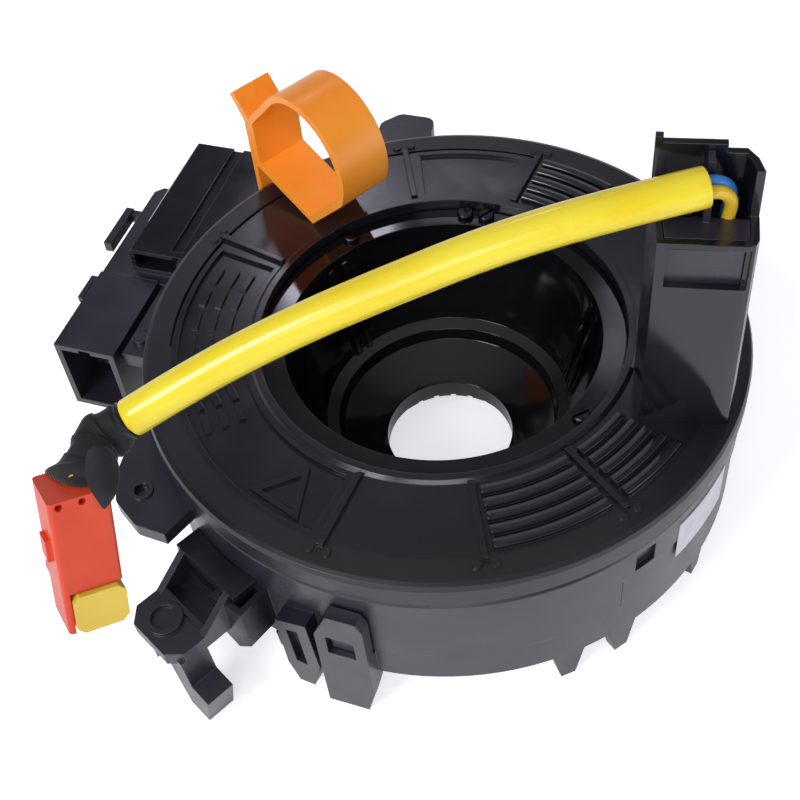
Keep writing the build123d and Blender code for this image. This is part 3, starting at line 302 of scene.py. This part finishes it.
spans = []
for n in range(len(TURNS) - 1):
    four = [TURNS[max(n - 1, 0)], TURNS[n], TURNS[n + 1], TURNS[min(n + 2, len(TURNS) - 1)]]
    ends_here = n == len(TURNS) - 2  # the last span gives its own end too
    for step in range(TURN_STEPS + ends_here):
        spans.append([between(*values, step / TURN_STEPS) for values in zip(*four)])
middles = [(span[0] + span[1]) / 2 for span in spans]
rings = []
for n, (left_edge, right_edge, front, back, pressed) in enumerate(spans):
    along = (middles[min(n + 1, len(middles) - 1)] - middles[max(n - 1, 0)]).normalized()
    half = (right_edge - left_edge) / 2
    out = half.cross(along).normalized()
    if out.dot(PLUG_FACE) < 0:
        out = -out
    if n == len(spans) - 1:
        out = (PLUG_FACE - half.normalized() * PLUG_FACE.dot(half.normalized())).normalized()
    ring = []
    for i in range(RING_POINTS):
        t = 2 * math.pi * i / RING_POINTS
        x, y = math.cos(t), math.sin(t)
        depth = (front if y > 0 else back) / 1000 * abs(y) ** FULLNESS * math.copysign(1, y)
        depth *= 1 - pressed * max(-x, 0) ** PRESS_FADE
        point = middles[n] + half * x + out * depth
        away = (point - middles[n]).normalized()
        turn = (n / TURN_STEPS * WIND + t / (2 * math.pi)) % 1.0
        fold = OVERLAP * (1 - turn) ** 3 + CREASE * abs(noise.noise(point * CREASE_RATE)) - SUNK
        fold += CRUMPLE * noise.noise(point * CRUMPLE_RATE)
        ring.append(point + away * fold * (min(n, len(spans) - 1 - n, EASE) / EASE))
    rings.append(ring)
wrap = ring_tube("cloth_tape", rings, close_ends=True)

# The tape's last end: a tongue folded down over the plug's front edge, its corner to a point. Its
# rows run from the wrap down to the point, each spot in millimetres across, up and out by the plug.
TONGUE = (((2.8, 5.6, -2.6), (3.8, 5.9, -2.2), (5.1, 5.2, -2.4), (6.3, 3.6, -3.5)),
          ((2.0, 3.8, -1.9), (3.3, 3.9, -1.2), (5.1, 3.3, -1.2), (6.6, 1.5, -2.2)),
          ((1.4, 1.6, -0.9), (2.8, 1.7, -0.2), (4.5, 1.3, -0.1), (6.0, 0.2, -1.0)),
          ((2.0, 0.0, 0.45), (2.9, 0.1, 0.9), (4.0, -0.2, 0.85), (5.0, -1.0, 0.4)),
          ((2.9, -2.5, 0.4), (3.1, -2.8, 0.45), (3.4, -2.5, 0.45), (3.7, -2.2, 0.4)))
tongue_mesh = bmesh.new()
rows = [[tongue_mesh.verts.new(by_plug(*spot)) for spot in row] for row in TONGUE]
for upper, lower in zip(rows, rows[1:]):
    for i in range(len(upper) - 1):
        tongue_mesh.faces.new((upper[i], lower[i], lower[i + 1], upper[i + 1]))
bmesh.ops.recalc_face_normals(tongue_mesh, faces=tongue_mesh.faces)
data = bpy.data.meshes.new("tongue")
tongue_mesh.to_mesh(data)
tongue_mesh.free()
tongue = bpy.data.objects.new("cloth_tape_tongue", data)
bpy.context.scene.collection.objects.link(tongue)
rounded = tongue.modifiers.new("rounded", "SUBSURF")
rounded.levels = rounded.render_levels = 3
thick = tongue.modifiers.new("thick", "SOLIDIFY")
thick.thickness, thick.offset = 0.0004, 0.0
for face in data.polygons:
    face.use_smooth = True
tape = [wrap, tongue]
for piece in tape:
    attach(piece, "rotor")
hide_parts("tape_wrap")

# Woven polyester tape: matt black with a fine weave of 0.4 mm and a soft sheen at grazing light.
fabric, shader = new_finish("woven_polyester_tape", "#1a1b1f", 0.8, 1.5)
where = mottle(fabric, shader, "#111215", "#1b1c20", 4.0)
warp = add_node(fabric, "ShaderNodeTexWave", {"bands_direction": "DIAGONAL"}, Vector=where.outputs["Object"],
                Scale=900.0, Distortion=2.0)
bump = add_node(fabric, "ShaderNodeBump", Strength=0.4, Distance=0.00004, Height=warp.outputs["Fac"])
fabric.node_tree.links.new(bump.outputs["Normal"], shader.inputs["Normal"])
shader.inputs["Sheen Weight"].default_value = 0.25
shader.inputs["Sheen Roughness"].default_value = 0.4
for piece in tape:
    piece.data.materials.append(fabric)


# ---------------------------------------------------------------- airbag plug
# Housing moulded in red-orange PBT, with a round nose on its far side that holds two plated
# contacts, and a yellow lock pressed into its lower end.
SAME_POINT = 0.000004  # points closer than this, in metres, are joined


def finish_node(node, material, crease_angle=0.45):
    """Gives a CAD solid its material, with flat faces flat and round ones smooth."""
    solid = NODES[node]
    for face in solid.data.polygons:
        face.use_smooth = True
    solid.data.materials.clear()
    solid.data.materials.append(material)
    join = solid.modifiers.new("join", "WELD")
    join.merge_threshold = SAME_POINT
    crease = solid.modifiers.new("crease", "EDGE_SPLIT")
    crease.split_angle = crease_angle


def moulded(name, dark, light, low, high, grain_mm, grain_height_mm, ior=1.52, edge_mm=0.22):
    """Injection-moulded plastic: tone, gloss and grain vary a little, and no edge is dead sharp."""
    material, shader = new_finish(name, light, high, ior)
    where = mottle(material, shader, dark, light, size_mm=22.0)
    satin(material, shader, where, low, high, size_mm=7.0)
    bump = fine_bump(material, shader, where, grain_mm, grain_height_mm, strength=0.5)
    broken_edge = add_node(material, "ShaderNodeBevel", {"samples": 6}, Radius=edge_mm / 1000)
    material.node_tree.links.new(broken_edge.outputs["Normal"], bump.inputs["Normal"])
    return material


# PBT: satin, warm, its colour a little uneven.
red_pbt = moulded("moulded_pbt_red_orange", "#d83a18", "#e65028", 0.3, 0.42, 0.5, 0.012)
finish_node("plug_housing", red_pbt)
key_pbt = moulded("moulded_pbt_yellow", "#e6c244", "#f1d65a", 0.3, 0.42, 0.5, 0.012)
finish_node("plug_lock", key_pbt)

# Tinned brass: pale warm metal, slightly dull.
tinned_brass, shader = new_finish("tinned_brass", "#c9bd98", 0.28, 1.5, metallic=1.0)
where = mottle(tinned_brass, shader, "#b3a67e", "#d6ccac", 2.0)
fine_bump(tinned_brass, shader, where, 0.3, 0.01, 0.4)
for node in ("plug_contacts", "switch_terminals", "harness_terminals"):
    finish_node(node, tinned_brass)


# ---------------------------------------------------------------- lower case
# Bottom half of the case, moulded in black glass-filled PBT: floor, wall, tapered feet, the latch
# loop, clip claws and the bracket arm. It snaps to the upper case.
case_black = moulded("moulded_pbt_black_satin", "#201e29", "#2a2835", 0.26, 0.38, 0.35, 0.012, 1.68)
finish_node("lower_case", case_black)


# ---------------------------------------------------------------- upper case
# Upper half of the case in the same PBT: wall, front skirt with its tooth in the latch loop, and
# two screw ears.
finish_node("upper_case", case_black)


# ---------------------------------------------------------------- harness connector
# Socket and ledge moulded with the case's side, and the snapped-on cover over the welded ends.
# The cover is glossier than the case: its top mirrors the dim ceiling.
polished_black = moulded("moulded_pbt_black_polished", "#131318", "#1a1a20", 0.1, 0.16, 0.6, 0.01, 1.62)
finish_node("connector_body", case_black)
finish_node("terminal_cover", polished_black)


# ---------------------------------------------------------------- blank label
# Self-adhesive paper label, left blank, on the case's right.
paper, shader = new_finish("coated_label_paper", "#e6e6ea", 0.5, 1.48)
where = mottle(paper, shader, "#dcdce2", "#ececf0", 4.0)
fine_bump(paper, shader, where, 0.4, 0.01, 0.4)
finish_node("blank_label", paper)


# ---------------------------------------------------------------- flat cable and lead blocks
# Copper strips laminated in polyester film, wound loosely in the case's chamber between a block
# on the case and one on the rotor's hub.
film, shader = new_finish("polyester_ribbon_laminate", "#b9a878", 0.35, 1.6)
where = mottle(film, shader, "#ab9a6a", "#c6b688", 8.0)
fine_bump(film, shader, where, 1.0, 0.02, 0.4)
finish_node("flat_cable", film)
finish_node("stator_lead_block", case_black)
finish_node("rotor_lead_block", case_black)


# ---------------------------------------------------------------- rotor disc
# Disc, rim and hub wall in one polished moulding of black POM. Ribs, ridges and sunk panels
# stiffen its face. The band along the rim is duller than the rest.
def ring_zone(material, low, high, blur=0.0004):
    """One between two radii round the column's axis, nought elsewhere, with a soft change."""
    where = add_node(material, "ShaderNodeTexCoord")
    flat = add_node(material, "ShaderNodeVectorMath", {"operation": "MULTIPLY"}, i0=where.outputs["Object"],
                    i1=(1.0, 1.0, 0.0))
    away = add_node(material, "ShaderNodeVectorMath", {"operation": "LENGTH"}, i0=flat.outputs["Vector"])
    inside = add_node(material, "ShaderNodeMapRange", Value=away.outputs["Value"])
    inside.inputs["From Min"].default_value, inside.inputs["From Max"].default_value = low - blur, low + blur
    outside = add_node(material, "ShaderNodeMapRange", Value=away.outputs["Value"])
    outside.inputs["From Min"].default_value = high + blur
    outside.inputs["From Max"].default_value = high - blur
    both = add_node(material, "ShaderNodeMath", {"operation": "MULTIPLY"}, i0=inside.outputs["Result"],
                    i1=outside.outputs["Result"])
    return both.outputs["Value"]


rotor_black = moulded("moulded_pom_black_gloss", "#14151b", "#1b1c23", 0.16, 0.24, 0.8, 0.012, 1.58)
shader = rotor_black.node_tree.nodes["Principled BSDF"]
polish = shader.inputs["Roughness"].links[0].from_socket
RIM_BAND, RIM_DULLNESS = (0.0469, 0.0530), 0.16
rim_zone = ring_zone(rotor_black, *RIM_BAND)
duller = add_node(rotor_black, "ShaderNodeMath", {"operation": "MULTIPLY_ADD"}, i0=rim_zone, i1=RIM_DULLNESS,
                  i2=polish)
rotor_black.node_tree.links.new(duller.outputs["Value"], shader.inputs["Roughness"])
finish_node("rotor_disc", rotor_black, crease_angle=0.38)


def new_tree(name, numbers, finish_name):
    """An empty node tree with a geometry input, the named numbers and one material."""
    tree = bpy.data.node_groups.new(name, "GeometryNodeTree")
    tree.interface.new_socket("Geometry", in_out="INPUT", socket_type="NodeSocketGeometry")
    for number in numbers:
        tree.interface.new_socket(number, in_out="INPUT", socket_type="NodeSocketFloat")
    tree.interface.new_socket(finish_name, in_out="INPUT", socket_type="NodeSocketMaterial")
    tree.interface.new_socket("Geometry", in_out="OUTPUT", socket_type="NodeSocketGeometry")
    return tree


def bake_tree(made, tree, inputs):
    """Runs the tree on the object with these inputs and keeps the mesh it makes."""
    repeat = made.modifiers.new("repeat", "NODES")
    repeat.node_group = tree
    sockets = {item.name: item.identifier for item in tree.interface.items_tree if item.in_out == "INPUT"}
    for name, value in inputs.items():
        repeat[sockets[name]] = value
    mesh = bpy.data.meshes.new_from_object(made.evaluated_get(bpy.context.evaluated_depsgraph_get()))
    made.modifiers.clear()
    made.data = mesh
    return made


# Three fields of ring ridges on the face, given by their angles: five square ribs of 1.5 mm, with
# grooves of 1 mm between, sunk a little into the face.
RIDGE_FIELDS = ((-63.0, -39.0), (-35.0, -19.0), (64.0, 82.0))
RIDGE_RADII = (0.0354, 0.0379, 0.0404, 0.0429, 0.0454)
FACE_LEVEL, RIDGE_SUNK, ARC_STEPS = 0.0295, 0.0001, 40


def ring_ridges(width, height):
    """Ribs of one section along every arc of the fields."""
    middle = FACE_LEVEL + height / 2 - RIDGE_SUNK
    spots, links = [], []
    for start, stop in RIDGE_FIELDS:
        for radius in RIDGE_RADII:
            angles = [math.radians(start + (stop - start) * n / ARC_STEPS) for n in range(ARC_STEPS + 1)]
            links += [(len(spots) + n, len(spots) + n + 1) for n in range(ARC_STEPS)]
            spots += [(radius * math.cos(a), radius * math.sin(a), middle) for a in angles]
    arcs = bpy.data.meshes.new("ridge_arcs")
    arcs.from_pydata(spots, links, [])
    made = bpy.data.objects.new("disc_ridges", arcs)
    bpy.context.scene.collection.objects.link(made)
    sizes = {"Ridge Width": width, "Ridge Height": height}
    tree = new_tree("ring_ridges", sizes, "Plastic")
    given = add_node(tree, "NodeGroupInput").outputs
    paths = add_node(tree, "GeometryNodeMeshToCurve", Mesh=given["Geometry"])
    level = add_node(tree, "GeometryNodeSetCurveNormal", {"mode": "Z_UP"}, Curve=paths.outputs["Curve"])
    section = add_node(tree, "GeometryNodeCurvePrimitiveQuadrilateral", Width=given["Ridge Width"],
                       Height=given["Ridge Height"])
    swept = add_node(tree, "GeometryNodeCurveToMesh", Curve=level.outputs["Curve"],
                     Profile_Curve=section.outputs["Curve"], Fill_Caps=True)
    real = add_node(tree, "GeometryNodeRealizeInstances", Geometry=swept.outputs["Mesh"])
    coloured = add_node(tree, "GeometryNodeSetMaterial", Geometry=real.outputs["Geometry"],
                        Material=given["Plastic"])
    add_node(tree, "NodeGroupOutput", Geometry=coloured.outputs["Geometry"])
    return bake_tree(made, tree, dict(sizes, Plastic=rotor_black))


ridges = ring_ridges(width=0.0015, height=0.0009)
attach(ridges, "rotor")


# ---------------------------------------------------------------- hub cup
# Funnel round the shaft in high-gloss black plastic, screwed under the disc's mouth.
cup_black = moulded("moulded_abs_black_high_gloss", "#0b0b0e", "#121216", 0.06, 0.12, 5.0, 0.008, 1.57)
finish_node("hub_cup", cup_black)
finish_node("cancel_cam", case_black)


# ---------------------------------------------------------------- flange screws
# Slotted round-head steel screws, 3.2 mm across the head and black zinc plated, through the cup's
# flange into the disc's shelf. Their places and the turn of each slot are in degrees.
SCREW_ANGLES = (141.7, 98.9, 91.3, -24.0)
SLOT_TURNS = (50.0, 20.0, -35.0, 65.0)
SCREW_CIRCLE, SCREW_SEAT = 0.0298, 0.02802
# the domed head: how flat the ball is, how high its centre is in the head's height, the cylinder's
# radius over the ball's, and the length in metres of the box that cuts the slot
FLATNESS, RISE, TRIM, CUTTER_LENGTH = 0.55, 0.45, 0.93, 0.01


def plated_screws(circle, seat, head_radius, head_height, slot_width, slot_depth):
    """Domed, slotted heads on shanks, repeated at the screws' places."""
    places = bpy.data.meshes.new("screw_places")
    places.from_pydata([(circle * math.cos(math.radians(a)), circle * math.sin(math.radians(a)), seat)
                        for a in SCREW_ANGLES], [], [])
    slot_turn = places.attributes.new("slot_turn", "FLOAT", "POINT")
    for n, (angle, turn) in enumerate(zip(SCREW_ANGLES, SLOT_TURNS)):
        slot_turn.data[n].value = math.radians(angle + turn)
    made = bpy.data.objects.new("flange_screws", places)
    bpy.context.scene.collection.objects.link(made)

    sizes = {"Head Radius": head_radius, "Head Height": head_height, "Slot Width": slot_width,
             "Slot Depth": slot_depth, "Shank Radius": 0.0009, "Shank Length": 0.0029}
    tree = new_tree("slotted_screws", sizes, "Plating")
    given = add_node(tree, "NodeGroupInput").outputs
    scaled = {"operation": "MULTIPLY"}
    # the head: a short cylinder cut by a flattened ball
    ball = add_node(tree, "GeometryNodeMeshUVSphere", Segments=48, Rings=24, Radius=given["Head Radius"])
    flattened = add_node(tree, "ShaderNodeCombineXYZ", X=1.0, Y=1.0, Z=FLATNESS)
    flatter = add_node(tree, "GeometryNodeTransform", Geometry=ball.outputs["Mesh"],
                       Scale=flattened.outputs["Vector"])
    ball_rise = add_node(tree, "ShaderNodeMath", scaled, i0=given["Head Height"], i1=RISE)
    up = add_node(tree, "ShaderNodeCombineXYZ", Z=ball_rise.outputs["Value"])
    raised = add_node(tree, "GeometryNodeTransform", Geometry=flatter.outputs["Geometry"],
                      Translation=up.outputs["Vector"])
    edge = add_node(tree, "ShaderNodeMath", scaled, i0=given["Head Radius"], i1=TRIM)
    blank = add_node(tree, "GeometryNodeMeshCylinder", Vertices=48, Radius=edge.outputs["Value"],
                     Depth=given["Head Height"])
    middle = add_node(tree, "ShaderNodeMath", scaled, i0=given["Head Height"], i1=0.5)
    up = add_node(tree, "ShaderNodeCombineXYZ", Z=middle.outputs["Value"])
    lifted = add_node(tree, "GeometryNodeTransform", Geometry=blank.outputs["Mesh"],
                      Translation=up.outputs["Vector"])
    head = add_node(tree, "GeometryNodeMeshBoolean", {"operation": "INTERSECT", "solver": "EXACT"})
    tree.links.new(raised.outputs["Geometry"], head.inputs["Mesh 2"])
    tree.links.new(lifted.outputs["Geometry"], head.inputs["Mesh 2"])
    # the screwdriver slot
    twice = add_node(tree, "ShaderNodeMath", scaled, i0=given["Slot Depth"], i1=2.0)
    box = add_node(tree, "ShaderNodeCombineXYZ", X=CUTTER_LENGTH, Y=given["Slot Width"],
                   Z=twice.outputs["Value"])
    cutter = add_node(tree, "GeometryNodeMeshCube", Size=box.outputs["Vector"])
    up = add_node(tree, "ShaderNodeCombineXYZ", Z=given["Head Height"])
    slot_at = add_node(tree, "GeometryNodeTransform", Geometry=cutter.outputs["Mesh"],
                       Translation=up.outputs["Vector"])
    slotted = add_node(tree, "GeometryNodeMeshBoolean", {"operation": "DIFFERENCE", "solver": "EXACT"})
    tree.links.new(head.outputs["Mesh"], slotted.inputs["Mesh 1"])
    tree.links.new(slot_at.outputs["Geometry"], slotted.inputs["Mesh 2"])
    # the shank, down through the flange
    shank = add_node(tree, "GeometryNodeMeshCylinder", Vertices=24, Radius=given["Shank Radius"],
                     Depth=given["Shank Length"])
    low = add_node(tree, "ShaderNodeMath", scaled, i0=given["Shank Length"], i1=-0.5)
    under = add_node(tree, "ShaderNodeCombineXYZ", Z=low.outputs["Value"])
    sunk = add_node(tree, "GeometryNodeTransform", Geometry=shank.outputs["Mesh"],
                    Translation=under.outputs["Vector"])
    whole = add_node(tree, "GeometryNodeJoinGeometry")
    tree.links.new(slotted.outputs["Mesh"], whole.inputs["Geometry"])
    tree.links.new(sunk.outputs["Geometry"], whole.inputs["Geometry"])
    turned = add_node(tree, "GeometryNodeInputNamedAttribute", {"data_type": "FLOAT"}, Name="slot_turn")
    heading = add_node(tree, "ShaderNodeCombineXYZ", Z=turned.outputs["Attribute"])
    placed = add_node(tree, "GeometryNodeInstanceOnPoints", Points=given["Geometry"],
                      Instance=whole.outputs["Geometry"], Rotation=heading.outputs["Vector"])
    real = add_node(tree, "GeometryNodeRealizeInstances", Geometry=placed.outputs["Instances"])
    plated = add_node(tree, "GeometryNodeSetMaterial", Geometry=real.outputs["Geometry"],
                      Material=given["Plating"])
    add_node(tree, "NodeGroupOutput", Geometry=plated.outputs["Geometry"])
    return bake_tree(made, tree, dict(sizes, Plating=black_zinc))


# Black zinc on steel: dark metal with a fine crystalline grain.
black_zinc, shader = new_finish("black_zinc_steel", "#34343a", 0.34, 1.5, metallic=1.0)
where = mottle(black_zinc, shader, "#242429", "#45454d", 1.5)
fine_bump(black_zinc, shader, where, 0.25, 0.01, 0.5)
screws = plated_screws(SCREW_CIRCLE, SCREW_SEAT, head_radius=0.0016, head_height=0.001, slot_width=0.0005,
                       slot_depth=0.00045)
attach(screws, "rotor")
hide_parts("hub_screws")


# ---------------------------------------------------------------- switch tower
# Tall polished shell on the disc's right, with its connector insert in satin black.
finish_node("tower_housing", polished_black)
finish_node("switch_connector", case_black)


# ---------------------------------------------------------------- lock ring
# Pull-off transport lock, moulded in translucent orange polypropylene.
orange_pp = moulded("moulded_polypropylene_orange", "#ff9624", "#ffae44", 0.26, 0.38, 0.6, 0.01, 1.49)
shader = orange_pp.node_tree.nodes["Principled BSDF"]
shader.inputs["Subsurface Weight"].default_value = 0.4
shader.inputs["Subsurface Radius"].default_value = (0.004, 0.0018, 0.0003)
# painted light: a faint orange glow on a part that is no lamp, which keeps the shaded sides from going brown
shader.inputs["Emission Color"].default_value = linear("#ff7a10")
shader.inputs["Emission Strength"].default_value = 0.1
finish_node("lock_ring", orange_pp)


# ---------------------------------------------------------------- floor and light
# Pale studio floor, a pale horizon under a dim ceiling, two broad lamps in front, a cool one on
# the right, and three small windows behind that the glossy tops mirror.
floor_mesh = bpy.data.meshes.new("studio_floor")
FLOOR_REACH, FLOOR_LEVEL = 1.2, -0.0081
floor_mesh.from_pydata([(FLOOR_REACH * x, FLOOR_REACH * y, FLOOR_LEVEL) for x, y in
                        ((-1, -1), (1, -1), (1, 1), (-1, 1))], [], [(0, 1, 2, 3)])
studio_floor = bpy.data.objects.new("studio_floor", floor_mesh)
bpy.context.scene.collection.objects.link(studio_floor)
# Matt white paint. It glows a little in reflections, and more to the camera, which keeps the shadow.
GLOW, CAMERA_GLOW = 0.35, 0.3
sweep_paint, shader = new_finish("matt_white_sweep", "#f6f6f8", 0.9, 1.4)
seen = add_node(sweep_paint, "ShaderNodeLightPath")
seen_or_mirrored = add_node(sweep_paint, "ShaderNodeMath", {"operation": "MAXIMUM"},
                            i0=seen.outputs["Is Camera Ray"], i1=seen.outputs["Is Glossy Ray"])
seen_any = add_node(sweep_paint, "ShaderNodeMath", {"operation": "MAXIMUM"},
                    i0=seen_or_mirrored.outputs["Value"], i1=seen.outputs["Is Transmission Ray"])
mirrored_glow = add_node(sweep_paint, "ShaderNodeMath", {"operation": "MULTIPLY"},
                         i0=seen_any.outputs["Value"], i1=GLOW)
glow = add_node(sweep_paint, "ShaderNodeMath", {"operation": "MULTIPLY_ADD"},
                i0=seen.outputs["Is Camera Ray"], i1=CAMERA_GLOW, i2=mirrored_glow.outputs["Value"])
shader.inputs["Emission Color"].default_value = linear("#fbfaff")
sweep_paint.node_tree.links.new(glow.outputs["Value"], shader.inputs["Emission Strength"])
# From below it is clear, so that the underside can be looked at.
from_below = add_node(sweep_paint, "ShaderNodeNewGeometry")
clear = add_node(sweep_paint, "ShaderNodeBsdfTransparent")
one_sided = add_node(sweep_paint, "ShaderNodeMixShader", i0=from_below.outputs["Backfacing"],
                     i1=shader.outputs["BSDF"], i2=clear.outputs["BSDF"])
output = next(node for node in sweep_paint.node_tree.nodes if node.bl_idname == "ShaderNodeOutputMaterial")
sweep_paint.node_tree.links.new(one_sided.outputs["Shader"], output.inputs["Surface"])
floor_mesh.materials.append(sweep_paint)

world = bpy.data.worlds.new("studio_world")
bpy.context.scene.world = world
world.use_nodes = True
world.node_tree.nodes.clear()
direction = add_node(world, "ShaderNodeTexCoord")
height = add_node(world, "ShaderNodeSeparateXYZ", Vector=direction.outputs["Generated"])
dimming = add_node(world, "ShaderNodeValToRGB", Fac=height.outputs["Z"])
# brightness by the sine of the height over the horizon: pale walls, a dim belt, a softer zenith
BELTS = ((0.0, 0.9), (0.1, 0.8), (0.4, 0.14), (0.72, 0.13), (0.84, 0.34), (1.0, 0.5))
stops = dimming.color_ramp.elements
while len(stops) < len(BELTS):
    stops.new(0.5)
for stop, (sine, strength) in zip(stops, BELTS):
    stop.position, stop.color = sine, (strength, strength, strength, 1.0)
lit = add_node(world, "ShaderNodeBackground", Color=linear("#f1f1fb"), Strength=dimming.outputs["Color"])
shown = add_node(world, "ShaderNodeBackground", Color=(1.0, 1.0, 1.0, 1.0), Strength=1.0)
path_info = add_node(world, "ShaderNodeLightPath")
either = add_node(world, "ShaderNodeMath", {"operation": "MAXIMUM"}, i0=path_info.outputs["Is Camera Ray"],
                  i1=path_info.outputs["Is Transmission Ray"])
both = add_node(world, "ShaderNodeMixShader", i0=either.outputs["Value"], i1=lit.outputs["Background"],
                i2=shown.outputs["Background"])
add_node(world, "ShaderNodeOutputWorld", Surface=both.outputs["Shader"])


def soft_lamp(name, where_at, size, power, colour="#ffffff", target=(0, 0, 0.02)):
    """A rectangular soft box at a place in metres, facing the target."""
    data = bpy.data.lights.new(name, "AREA")
    data.shape = "RECTANGLE"
    data.size, data.size_y = size
    data.energy = power
    data.color = linear(colour)[:3]
    lamp = bpy.data.objects.new(name, data)
    bpy.context.scene.collection.objects.link(lamp)
    lamp.location = where_at
    lamp.rotation_euler = (Vector(target) - Vector(where_at)).to_track_quat("-Z", "Y").to_euler()


soft_lamp("front_left_key", (-0.3, -0.6, 0.62), (0.3, 0.3), 3.6)
soft_lamp("front_fill", (0.15, -0.7, 0.55), (0.4, 0.4), 1.8)
soft_lamp("right_box", (0.75, -0.15, 0.12), (0.3, 0.3), 0.8, "#dfe8fa", (0.045, -0.02, 0.05))
soft_lamp("window_left", (-0.253, 0.469, 0.508), (0.09, 0.07), 0.18, "#e6e2f4")
soft_lamp("window_middle", (-0.170, 0.539, 0.488), (0.075, 0.035), 0.032, "#e6dcf0")
soft_lamp("window_right", (-0.042, 0.478, 0.542), (0.04, 0.07), 0.014, "#e6e2f4")

bpy.context.scene.view_settings.view_transform = "Standard"
